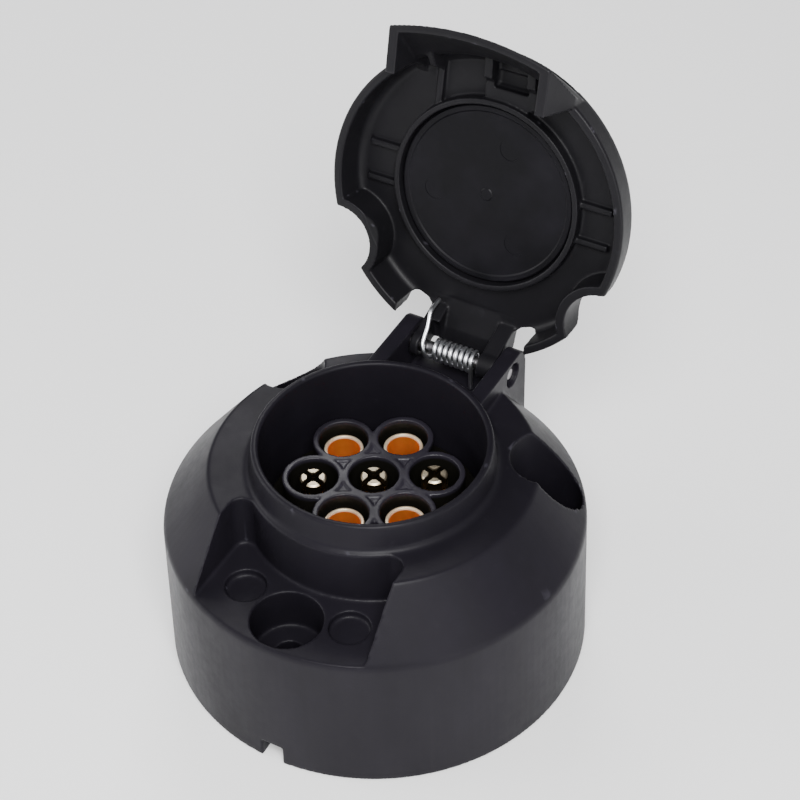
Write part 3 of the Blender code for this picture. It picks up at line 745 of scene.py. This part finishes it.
def pillars_and_ribs():
    parts = [upright(PILLAR_RADIUS, x, y, 0, SCREW_LEDGE - 1) for x, y in screw_places()]
    for i in range(6):
        rib = block((TUBE_RADIUS - 1, -0.8, TUBE_END + 2.5), (BASE_RADIUS - WALL, 0.8, CEILING + 0.5))
        parts.append(moved(rib, Matrix.Rotation(math.radians(60 * i), 4, "Z")))
    return together(parts)


def hinge_recess():
    room = block((-EAR_INSIDE, 10, RECESS_FLOOR), (EAR_INSIDE, FAR, FAR))
    return built(room, [("DIFFERENCE", upright(RECESS_FRONT, 0, 0, 30, FAR + 1, ROUND))])


def make_housing(finish):
    bores = []
    holes = []
    for i, (x, y) in enumerate(screw_places()):
        bores.append(upright(FRONT_BORE if i == 0 else SIDE_BORE, x, y, SCREW_LEDGE, FAR, 72))
        holes.append(upright(SCREW_HOLE, x, y, -1, SCREW_LEDGE + 1))
    dimples = []
    for side in (-1, 1):
        x, y = DIMPLE_PLACE
        dimples.append(upright(DIMPLE_RADIUS, side * x, y, SLOT_FLOOR - DIMPLE_DEPTH, SLOT_FLOOR + 1))
    sinks = []
    for side in (-1, 1):
        start = HINGE + Vector((side * (EAR_OUTSIDE - SINK_DEPTH), 0, 0))
        sinks.append(rod(SINK_RADIUS, start, HINGE + Vector((side * 14, 0, 0))))
    threads = []
    for angle in INSERT_SCREW_ANGLES:
        threads.append(upright(1.4, *on_circle(INSERT_SCREW_CIRCLE, angle), 18, 25.5, 24))
    across = Vector((14, 0, 0))
    drain = block((-DRAIN_HALF_WIDTH, -FAR, -1), (DRAIN_HALF_WIDTH, -36, DRAIN_HEIGHT))
    steps = [
        ("UNION", hinge_block()),
        ("UNION", screw_sleeves()),
        ("UNION", pillars_and_ribs()),
        ("DIFFERENCE", prism([(x, y, SLOT_FLOOR) for x, y in slot_outline()], (0, 0, FAR))),
        ("DIFFERENCE", hinge_recess()),
        ("DIFFERENCE", together(bores)),
        ("DIFFERENCE", together(holes)),
        ("DIFFERENCE", together(dimples)),
        ("DIFFERENCE", drain),
        ("DIFFERENCE", rod(PIN_HOLE, HINGE - across, HINGE + across, 32)),
        ("DIFFERENCE", together(sinks)),
        ("DIFFERENCE", together(threads)),
    ]
    mesh = moulded(built(lathe(housing_section()), steps), FINE, 9, 180000)
    piece("housing_shell", mesh, finish, "base", ["housing"])


# --- Lid ----------------------------------------------------------------------------------


def cap_section():
    """Half section of the lid's cap, down the outside and back along the inside."""
    inside = LID_RADIUS - LID_SKIRT
    dome = [(0, LID_TOP), (10, LID_TOP - 0.05), (20, LID_TOP - 0.25), (26.2, LID_TOP - 1.0)]
    rest = rounded(
        [
            (26.2, LID_TOP - 1.0),
            (LID_RADIUS - 0.5, LID_TOP - 2.2, 2.6),
            (LID_RADIUS, LID_EDGE, 0.5),
            (inside, LID_EDGE, 0.4),
            (inside - 0.4, LID_CEILING, 1.6),
            (0, LID_CEILING),
        ]
    )
    return dome + rest[1:]


def drawn_out(bm):
    """Stretches the back of a turned cap a little towards the hinge."""
    start = 10
    for vert in bm.verts:
        vert.co.y += BACK_STRETCH * max(0, vert.co.y - start)
    return bm


def lid_inset():
    """Solid of revolution a little inside the cap's outer surface, down past its edge."""
    outside = [
        (0, LID_TOP - 0.5),
        (20, LID_TOP - 0.8),
        (26.2, LID_TOP - 1.6),
        (28.6, LID_TOP - 3.0),
        (LID_RADIUS - 0.8, LID_TOP - 5.0),
        (LID_RADIUS - 0.5, LID_EDGE - 4),
    ]
    return drawn_out(lathe(outside + [(0, LID_EDGE - 4)]))


def visor_rows():
    """The visor, from the cap to its edge: height, reach in the middle, fall-off at the sides, wall."""
    return [
        (LID_CEILING - 0.2, LID_RADIUS - 2.2, 5.9, 1.7),
        (LID_CEILING - 1.3, LID_RADIUS - 0.8, 5.7, 1.8),
        (LID_CEILING - 3.3, LID_RADIUS + 0.1, 5.4, 1.9),
        (LID_EDGE + 1.7, LID_RADIUS + 0.35, 5.0, 1.95),
        (LID_EDGE + 0.2, LID_RADIUS + 0.9, 4.6, 2.0),
        (LID_EDGE - 1.6, LID_RADIUS + 2.1, 4.1, 1.9),
        (VISOR_EDGE + 0.4, LID_RADIUS + 5.4, 2.4, 1.6),
        (VISOR_EDGE, LID_RADIUS + 5.1, 2.4, 1.1),
    ]


def visor_plan(height, reach, fall_off, wall, steps=32):
    """Closed plan of the visor at one height. Its right cheek leans in below the cap."""
    lean = min(1, max(0, (LID_EDGE - height) / (LID_EDGE - VISOR_EDGE)))
    left = -VISOR_HALF_WIDTH
    right = VISOR_HALF_WIDTH - VISOR_LEAN_IN * lean
    middle = (left + right) / 2

    def front(low_x, high_x, reach_here):
        points = []
        for i in range(steps + 1):
            x = low_x + (high_x - low_x) * i / steps
            points.append((x, fall_off * ((x - middle) / (right - middle)) ** 2 - reach_here))
        return points

    outside = front(left, right, reach)
    inside = front(right - CHEEK_WALL, left + CHEEK_WALL, reach - wall)
    back = max(CHEEK_BACK, fall_off - reach + wall)
    right_end = [(right, back), (right - CHEEK_WALL, back)]
    left_end = [(left + CHEEK_WALL, back), (left, back)]
    return outside + right_end + inside + left_end


def visor():
    rings = []
    for height, reach, fall_off, wall in visor_rows():
        rings.append([(x, y, height) for x, y in visor_plan(height, reach, fall_off, wall)])
    return lofted(rings)


def side_ribs():
    """Two pairs of short ribs between the ring and the skirt."""
    ribs = []
    for side in (-1, 1):
        for end in (-1, 1):
            xs = sorted((side * (RING_OUTSIDE - 0.3), side * 25.6))
            low = (xs[0], end * 3.7 - 0.6, LID_CEILING - 1.2)
            ribs.append(block(low, (xs[1], end * 3.7 + 0.6, LID_CEILING + 0.5)))
    return together(ribs)


def visor_rib():
    top = LID_CEILING + 0.5
    outline = [
        (-14.6, top),
        (-14.6, LID_CEILING - 1.3),
        (-22.4, LID_CEILING - 1.3),
        (-24.2, LID_CEILING - 5.0),
        (-28.6, LID_CEILING - 8.0),
        (-27.0, LID_CEILING - 3.8),
        (-25.3, LID_CEILING - 0.9),
        (-22.8, top),
    ]
    return slab(outline, -12.9, -11.5)


def catch_walls():
    """Two walls behind the visor that hold a plug's lug."""
    outline = [
        (-19.0, LID_CEILING + 0.5),
        (-19.0, LID_CEILING - 1.3),
        (-22.8, LID_CEILING - 1.5),
        (-24.0, LID_CEILING - 2.9),
        (-28.9, LID_CEILING - 3.4),
        (-28.0, LID_CEILING - 1.1),
        (-25.5, LID_CEILING + 0.5),
    ]
    return together([slab(outline, x - 0.85, x + 0.85) for x in CATCH_WALLS])


def barrel_foot_room():
    """Cutter that keeps the scallop walls clear of the flare round the barrel's foot."""
    foot = BARREL_FOOT + 1.45
    section = [
        (0, 30),
        (foot, 30),
        (foot, SHOULDER_HEIGHT + 0.3),
        (foot - 0.75, SHOULDER_HEIGHT + 1.4),
        (foot - 1.55, SHOULDER_HEIGHT + 2.5),
        (0, SHOULDER_HEIGHT + 2.5),
    ]
    return lathe(section)


def scallop_walls(places):
    """The skirt follows each side screw bore round, so that a screwdriver clears the lid."""
    walls = [upright(SCALLOP + LID_SKIRT, x, y, LID_EDGE, LID_CEILING + 1, 72) for x, y in places]
    return built(together(walls), [("INTERSECT", lid_inset()), ("DIFFERENCE", barrel_foot_room())])


def ear_notch(side):
    """Cutter for the notch that clears a hinge ear, deepest beside the skirt."""
    inner, outer, end = NOTCH
    outline = [
        (inner, end + 2.2),
        (inner + 1.4, end + 0.8),
        (inner + 3.4, end),
        (outer - 0.9, end),
        (outer - 0.2, end + 0.5),
        (outer, end + 1.2),
        (outer, FAR),
        (inner, FAR),
    ]
    return prism([(side * x, y, 30) for x, y in outline], (0, 0, FAR))


def arm(side):
    """A lid arm, from the cap's ceiling round the hinge pin and back up."""
    front = [(24.0, LID_CEILING + 1), (24.6, LID_CEILING), (26.3, LID_CEILING)]
    knuckle = arc(HINGE.y, HINGE.z, KNUCKLE, 180, 390, 24)
    back = [(33.2, 49.0), (31.0, 51.0), (27.5, LID_TOP - 0.6), (24.0, LID_TOP - 0.6)]
    xs = sorted((side * ARM_INSIDE, side * ARM_OUTSIDE))
    return slab(front + knuckle + back, *xs)


def neck_web():
    """The web between the two arms, which hangs down behind the spring when open."""
    outline = [
        (24.0, LID_CEILING + 0.3),
        (30.6, LID_CEILING - 1.2),
        (35.3, LID_CEILING - 1.4),
        (35.3, LID_CEILING - 0.2),
        (31.0, 51.0),
        (27.5, LID_TOP - 0.6),
        (24.0, LID_TOP - 0.6),
    ]
    return slab(outline, -ARM_INSIDE - 0.5, ARM_INSIDE + 0.5)


def make_lid(finish):
    ring = [
        (RING_OUTSIDE, LID_CEILING + 0.5),
        (RING_OUTSIDE, RING_EDGE),
        (RING_INSIDE, RING_EDGE),
        (RING_INSIDE, LID_CEILING + 0.5),
    ]
    window = VISOR_HALF_WIDTH - CHEEK_WALL
    neck = ARM_OUTSIDE + 0.2
    left, right = CATCH_WALLS
    places = [Vector(place) + Vector(shift) for place, shift in zip(screw_places()[1:], SCALLOP_SHIFTS)]
    across = Vector((12, 0, 0))
    steps = [
        ("UNION", lathe(ring)),
        ("DIFFERENCE", block((-window, -FAR, LID_EDGE - 3), (window, -20, LID_CEILING - 0.5))),
        ("UNION", visor()),
        ("UNION", side_ribs()),
        ("UNION", visor_rib()),
        ("UNION", block((left, -21.8, LID_CEILING - 1.4), (right, -18.8, LID_CEILING + 0.4))),
        ("UNION", catch_walls()),
        ("DIFFERENCE", block((left + 1, -25.0, LID_CEILING - 1.0), (right - 1, -22.2, LID_CEILING + 0.5))),
        ("UNION", scallop_walls(places)),
        ("DIFFERENCE", together([upright(SCALLOP, x, y, 30, FAR, 72) for x, y in places])),
        ("DIFFERENCE", block((-neck, 24.2, LID_EDGE - 4), (neck, 40, LID_CEILING + 0.1))),
        ("DIFFERENCE", together([ear_notch(-1), ear_notch(1)])),
        ("UNION", together([arm(-1), arm(1)])),
        ("UNION", neck_web()),
        ("DIFFERENCE", rod(5.2, HINGE - Vector((7.3, 0, 0)), HINGE - Vector((5.0, 0, 0)), 48)),
        ("DIFFERENCE", rod(PIN_HOLE, HINGE - across, HINGE + across, 32)),
    ]
    mesh = moulded(built(drawn_out(lathe(cap_section())), steps), FINE * 0.8, 8, 150000)
    piece("lid_shell", mesh, finish, "lid", ["lid"], turned_open=True)


def make_lid_disc(finish):
    """The seal disc inside the ring: a raised bead near its edge, a gate mark and three pin marks."""
    radius = RING_INSIDE - 0.4
    face = node_box_shut_disc()
    section = [
        (0, face[1]),
        (radius, face[1]),
        (radius, face[0] + 0.25),
        (radius - 0.25, face[0]),
        (radius - 1.1, face[0]),
        (radius - 1.4, face[0] + 0.18),
        (1.3, face[0] + 0.18),
        (1.1, face[0] + 0.02),
        (0, face[0] + 0.02),
    ]
    marks = []
    for i in range(3):
        x, y = on_circle(11.0, math.radians(50 + 120 * i))
        marks.append(upright(2.2, x, y, face[0] - 1, face[0] + 0.26, 48))
    bm = built(lathe(section), [("DIFFERENCE", together(marks))])
    piece("lid_disc", mesh_of(bm), finish, "lid", ["lid_seal_disc"], turned_open=True, sharp=28)


def node_box_shut_disc():
    """Lowest and highest height of the seal disc with the lid shut."""
    points = [Vector(v.co) * PER_METRE for v in frame["nodes"]["lid_seal_disc"].data.vertices]
    turn = Matrix.Rotation(LID_OPEN, 3, "X")
    heights = [(turn @ (point - HINGE) + HINGE).z for point in points]
    return min(heights), max(heights)


# --- Hinge pin and spring -----------------------------------------------------------------


def make_hinge_pin(finish):
    ends = [(PIN_RADIUS, PIN_REACH, 0.25), (PIN_RADIUS, -PIN_REACH, 0.25)]
    bm = lathe(rounded([(0, PIN_REACH)] + ends + [(0, -PIN_REACH)]), 40)
    moved(bm, Matrix.Translation(HINGE) @ Matrix.Rotation(math.radians(90), 4, "Y"))
    piece("hinge_pin_turned", mesh_of(bm), finish, "base", ["hinge_pin"], sharp=40)


def spring_line():
    """A leg up from the recess floor, the coil over the pin, and a leg that hooks into the lid."""
    floor = RECESS_FLOOR + 0.3
    front = HINGE.y - SPRING_RADIUS
    foot = [Vector((SPRING_START, front, floor + 0.55 * i)) for i in range(6)]
    leave = 132.9
    turns = (180 - leave + 360 * SPRING_TURNS) / 360
    coil = []
    steps = 26 * SPRING_TURNS
    for i in range(steps + 1):
        done = turns * i / steps
        angle = math.radians(180 - 360 * done)
        step_out = SPRING_STEP_OUT * max(0, 1 - 2 * (turns - done))
        x = SPRING_START - SPRING_PITCH * done - step_out
        y, z = HINGE.y + SPRING_RADIUS * math.cos(angle), HINGE.z + SPRING_RADIUS * math.sin(angle)
        coil.append(Vector((x, y, z)))
    end = coil[-1]
    lean = math.radians(leave - 90)
    leg = []
    for length, shift in ((1.0, 0.06), (2.0, 0.1), (3.2, 0.1), (4.4, 0.28), (5.4, 0.46), (6.2, 0.6)):
        leg.append(end + Vector((-shift, length * math.cos(lean), length * math.sin(lean))))
    reach = ((-0.05, 0.55, 0.3), (-0.1, 1.3, 0.42), (-0.2, 2.8, 0.36), (-0.2, 4.2, 0.3))
    hook = [leg[-1] + Vector(step) for step in reach]
    return foot + coil + leg + hook


def tube(points, radius, sides=14):
    """A closed tube along the points, with rounded ends."""
    count = len(points)
    along = [(points[min(i + 1, count - 1)] - points[max(i - 1, 0)]).normalized() for i in range(count)]
    side = along[0].orthogonal().normalized()
    stations = []
    for i, (point, direction) in enumerate(zip(points, along)):
        side = (side - direction * side.dot(direction)).normalized()
        stations.append((point, direction, side.copy(), radius))
    first, last = stations[0], stations[-1]
    stations = [(first[0] - first[1] * 0.12, first[1], first[2], radius * 0.7)] + stations
    stations.append((last[0] + last[1] * 0.12, last[1], last[2], radius * 0.7))
    rings = []
    for point, direction, side, size in stations:
        other = direction.cross(side)
        ring = []
        for k in range(sides):
            angle = math.tau * k / sides
            ring.append(point + (side * math.cos(angle) + other * math.sin(angle)) * size)
        rings.append(ring)
    return lofted(rings)


def make_spring(finish):
    line = spring_line()
    mesh = mesh_of(tube(line, SPRING_WIRE))
    spring = piece("torsion_spring", mesh, finish, None, ["hinge_spring"], sharp=50)
    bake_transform(spring)


# --- Insert, contacts and screws ----------------------------------------------------------


def contact_node(name):
    return f"pin_contact_{name}" if name in PIN_CONTACTS else f"socket_contact_{name}"


def contact_places():
    places = {}
    for name in PIN_CONTACTS + SOCKET_CONTACTS:
        middle = node_middle(contact_node(name))
        places[name] = (middle.x, middle.y)
    return places


def make_insert(finish):
    section = [
        (0, PLUG_TOP),
        (PLUG_RADIUS, PLUG_TOP),
        (PLUG_RADIUS, TUBE_END - 0.3),
        (FLANGE_RADIUS, TUBE_END - 0.3),
        (FLANGE_RADIUS, INSERT_BACK),
        (0, INSERT_BACK),
    ]
    places = contact_places()
    steps = [("UNION", upright(WEB_RADIUS, 0, 0, PLUG_TOP - 1, WEB_TOP, 96))]
    for names in (("centre",), ("30", "150", "270"), ("90", "210", "330")):
        towers = [upright(TOWER_RADIUS, *places[name], PLUG_TOP - 1, TOWER_TOP, 64) for name in names]
        steps.append(("UNION", together(towers)))
    wells = [upright(WELL_RADIUS, x, y, WELL_FLOOR, TOWER_TOP + 1, 64) for x, y in places.values()]
    holes = []
    for name, (x, y) in places.items():
        radius = PIN_CONTACT_RADIUS if name in PIN_CONTACTS else SOCKET_RADIUS
        holes.append(upright(radius + 0.3, x, y, INSERT_BACK - 1, WELL_FLOOR + 1))
    screws = []
    for angle in INSERT_SCREW_ANGLES:
        screws.append(upright(1.4, *on_circle(INSERT_SCREW_CIRCLE, angle), INSERT_BACK - 1, TUBE_END, 24))
    steps += [("DIFFERENCE", together(cutters)) for cutters in (wells, holes, screws)]
    mesh = moulded(built(lathe(section), steps), FINE * 0.8, 5, 110000)
    piece("insert_block", mesh, finish, "base", ["contact_insert"])


def terminal_corners():
    """The wire end that every contact has, from its blind wire hole out and up."""
    return [
        (0, 12.5),
        (1.7, 12.5),
        (1.7, TERMINAL_END, 0.2),
        (TERMINAL_RADIUS, TERMINAL_END, 0.3),
        (TERMINAL_RADIUS, TERMINAL_TOP),
    ]


def socket_section():
    """A hollow contact, with a lead-in chamfer at its mouth."""
    corners = terminal_corners() + [
        (SOCKET_RADIUS, TERMINAL_TOP, 0.2),
        (SOCKET_RADIUS, SOCKET_TOP, 0.25),
        (SOCKET_BORE + 0.2, SOCKET_TOP, 0.1),
        (SOCKET_BORE, SOCKET_TOP - 0.45, 0.15),
        (SOCKET_BORE, 19.6, 0.3),
        (0, 18.6),
    ]
    return rounded(corners, 4)


def pin_section():
    """A solid contact with a rounded nose."""
    corners = terminal_corners() + [
        (PIN_CONTACT_RADIUS, TERMINAL_TOP, 0.2),
        (PIN_CONTACT_RADIUS, PIN_CONTACT_TOP - 0.35, 0.15),
        (PIN_CONTACT_RADIUS - 0.35, PIN_CONTACT_TOP, 0.1),
        (0, PIN_CONTACT_TOP),
    ]
    return rounded(corners, 4)


def make_contacts(socket_finish, pin_finish):
    for name, (x, y) in contact_places().items():
        if name in PIN_CONTACTS:
            slits = []
            for i in range(2):
                slit = block((-0.6, -4, 32.5), (0.6, 4, 42))
                slits.append(("DIFFERENCE", moved(slit, Matrix.Rotation(math.radians(75 + 90 * i), 4, "Z"))))
            centre = upright(1.2, 0, 0, 32.5, 42, 32)
            bm = built(lathe(pin_section(), 64), slits + [("DIFFERENCE", centre)])
        else:
            bm = lathe(socket_section(), 96)
        moved(bm, Matrix.Translation((x, y, 0)))
        finish = pin_finish if name in PIN_CONTACTS else socket_finish
        piece(f"contact_{name}", mesh_of(bm), finish, "base", [contact_node(name)], sharp=32)


def make_insert_screws(finish):
    """Pan-head screws with a cross recess that hold the insert's flange."""
    head = INSERT_BACK - 0.3
    for index, angle in enumerate(INSERT_SCREW_ANGLES):
        x, y = on_circle(INSERT_SCREW_CIRCLE, angle)
        low, high = node_box(f"insert_screw_{index}")
        reach = high.x - x
        section = rounded(
            [
                (0, high.z),
                (0.5, high.z),
                (1.05, high.z - 0.8, 0.1),
                (1.05, head, 0.05),
                (reach, head, 0.2),
                (reach, low.z, 0.6),
                (0, low.z),
            ]
        )
        cuts = []
        for i in range(2):
            slit = block((-1.15, -0.28, low.z - 1), (1.15, 0.28, low.z + 0.8))
            cuts.append(("DIFFERENCE", moved(slit, Matrix.Rotation(math.radians(90 * i + 20), 4, "Z"))))
        bm = moved(built(lathe(section, 40), cuts), Matrix.Translation((x, y, 0)))
        piece(f"flange_screw_{index}", mesh_of(bm), finish, "base", [f"insert_screw_{index}"], sharp=32)


def make_boot(finish):
    """The rubber boot: a stepped cup with a grip bead and a lipped cable hole."""
    top = BOOT_TOP
    skin = BOOT_RADIUS - 0.7
    corners = [
        (BOOT_RADIUS, top, 0.2),
        (BOOT_RADIUS, top - 1.8, 0.4),
        (skin, top - 2.2, 0.3),
        (skin, 10.6, 0.3),
        (skin + 0.45, 10.2, 0.3),
        (skin + 0.45, 9.4, 0.3),
        (skin, 9.0, 0.3),
        (skin, 5.2, 2.2),
        (skin - 4.0, BOOT_END + 0.6, 1.5),
        (CABLE_HOLE + 2.9, BOOT_END + 0.6, 0.3),
        (CABLE_HOLE + 2.4, BOOT_END, 0.3),
        (CABLE_HOLE, BOOT_END, 0.3),
        (CABLE_HOLE, BOOT_END + 1.6, 0.3),
        (skin - 4.6, BOOT_END + 2.2, 1.0),
        (skin - BOOT_WALL, 6.6, 1.0),
        (skin - BOOT_WALL, top, 0.2),
    ]
    piece("boot_skin", mesh_of(lathe(rounded(corners, 5), 128)), finish, "base", ["rear_boot"], sharp=40)


def dress_hidden_screws(finish):
    """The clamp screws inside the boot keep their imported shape."""
    for name, obj in frame["nodes"].items():
        if name.startswith("terminal_screw"):
            obj.data.materials.clear()
            obj.data.materials.append(finish)


# --- Studio -------------------------------------------------------------------------------


def plain(name, colour, roughness, glow):
    made = bpy.data.materials.new(name)
    made.use_nodes = True
    shader = made.node_tree.nodes["Principled BSDF"]
    shader.inputs["Base Color"].default_value = (*colour, 1)
    shader.inputs["Roughness"].default_value = roughness
    shader.inputs["Emission Color"].default_value = (*colour, 1)
    shader.inputs["Emission Strength"].default_value = glow
    return made


def make_floor():
    bm = bmesh.new()
    level = Matrix.Translation((0, 0, -0.2 * MM))
    bmesh.ops.create_grid(bm, x_segments=1, y_segments=1, size=4.0, matrix=level)
    mesh = bpy.data.meshes.new("studio_floor")
    bm.to_mesh(mesh)
    bm.free()
    mesh.materials.append(plain("studio_floor", (0.90, 0.90, 0.90), 0.9, 0.18))
    floor = bpy.data.objects.new("studio_floor", mesh)
    bpy.context.scene.collection.objects.link(floor)


def softbox(name, place, aim, size, power, colour=(1, 1, 1)):
    lamp = bpy.data.lights.new(name, "AREA")
    lamp.shape = "RECTANGLE"
    lamp.size, lamp.size_y = size
    lamp.energy = power
    lamp.color = colour
    obj = bpy.data.objects.new(name, lamp)
    bpy.context.scene.collection.objects.link(obj)
    obj.location = place
    obj.rotation_euler = (Vector(aim) - Vector(place)).to_track_quat("-Z", "Y").to_euler()


def make_world():
    """Soft light that is strongest round the horizon and weak from above."""
    world = bpy.data.worlds.new("studio")
    bpy.context.scene.world = world
    world.use_nodes = True
    tree = world.node_tree
    place = tree.nodes.new("ShaderNodeTexCoord")
    split = tree.nodes.new("ShaderNodeSeparateXYZ")
    ramp = tree.nodes.new("ShaderNodeMapRange")
    for socket, number in zip(ramp.inputs[1:5], (0.1, 0.9, 0.60, 0.36)):
        socket.default_value = number
    background = tree.nodes["Background"]
    background.inputs["Color"].default_value = (0.97, 0.97, 1.0, 1)
    tree.links.new(place.outputs["Generated"], split.inputs["Vector"])
    tree.links.new(split.outputs["Z"], ramp.inputs["Value"])
    tree.links.new(ramp.outputs["Result"], background.inputs["Strength"])


def make_lights():
    make_world()
    aim = (0, 0, 0.045)
    softbox("key_left", (-0.62, -0.28, 0.30), aim, (0.5, 0.4), 3.2)
    softbox("fill_right", (0.60, -0.30, 0.16), aim, (0.4, 0.3), 1.5)
    softbox("mirror_back", (-0.33, 0.57, 0.61), aim, (0.32, 0.30), 3.2)
    softbox("front_fill", (0.20, -0.30, 0.50), aim, (0.25, 0.25), 6)


def make_camera():
    """A long lens that looks down at 43 degrees, from 30 degrees to the right of the front."""
    azimuth = math.radians(30)
    pitch = math.radians(42.62)
    roll = math.radians(1.64)
    turn = Matrix.Rotation(azimuth, 3, "Z")
    right = turn @ Vector((1, 0, 0))
    forward = turn @ Vector((0, math.cos(pitch), -math.sin(pitch)))
    up = turn @ Vector((0, math.sin(pitch), math.cos(pitch)))
    place = right * 0.00533 + up * 0.04280 - forward * 0.42659
    across = right * math.cos(roll) - up * math.sin(roll)
    upward = right * math.sin(roll) + up * math.cos(roll)
    camera = bpy.data.cameras.new("camera")
    camera.sensor_width = 36
    camera.lens = 95.94
    camera.clip_start = 0.01
    obj = bpy.data.objects.new("camera", camera)
    bpy.context.scene.collection.objects.link(obj)
    matrix = Matrix((across, upward, -forward)).transposed().to_4x4()
    matrix.translation = place
    obj.matrix_world = matrix
    bpy.context.scene.camera = obj


def main():
    make_camera()
    make_floor()
    make_lights()
    finishes = make_finishes()
    make_housing(finishes["housing"])
    make_lid(finishes["lid"])
    make_lid_disc(finishes["disc"])
    make_hinge_pin(finishes["pin_steel"])
    make_spring(finishes["steel"])
    make_insert(finishes["insert"])
    make_contacts(finishes["brass"], finishes["pin_brass"])
    make_insert_screws(finishes["steel"])
    make_boot(finishes["boot"])
    dress_hidden_screws(finishes["steel"])


main()
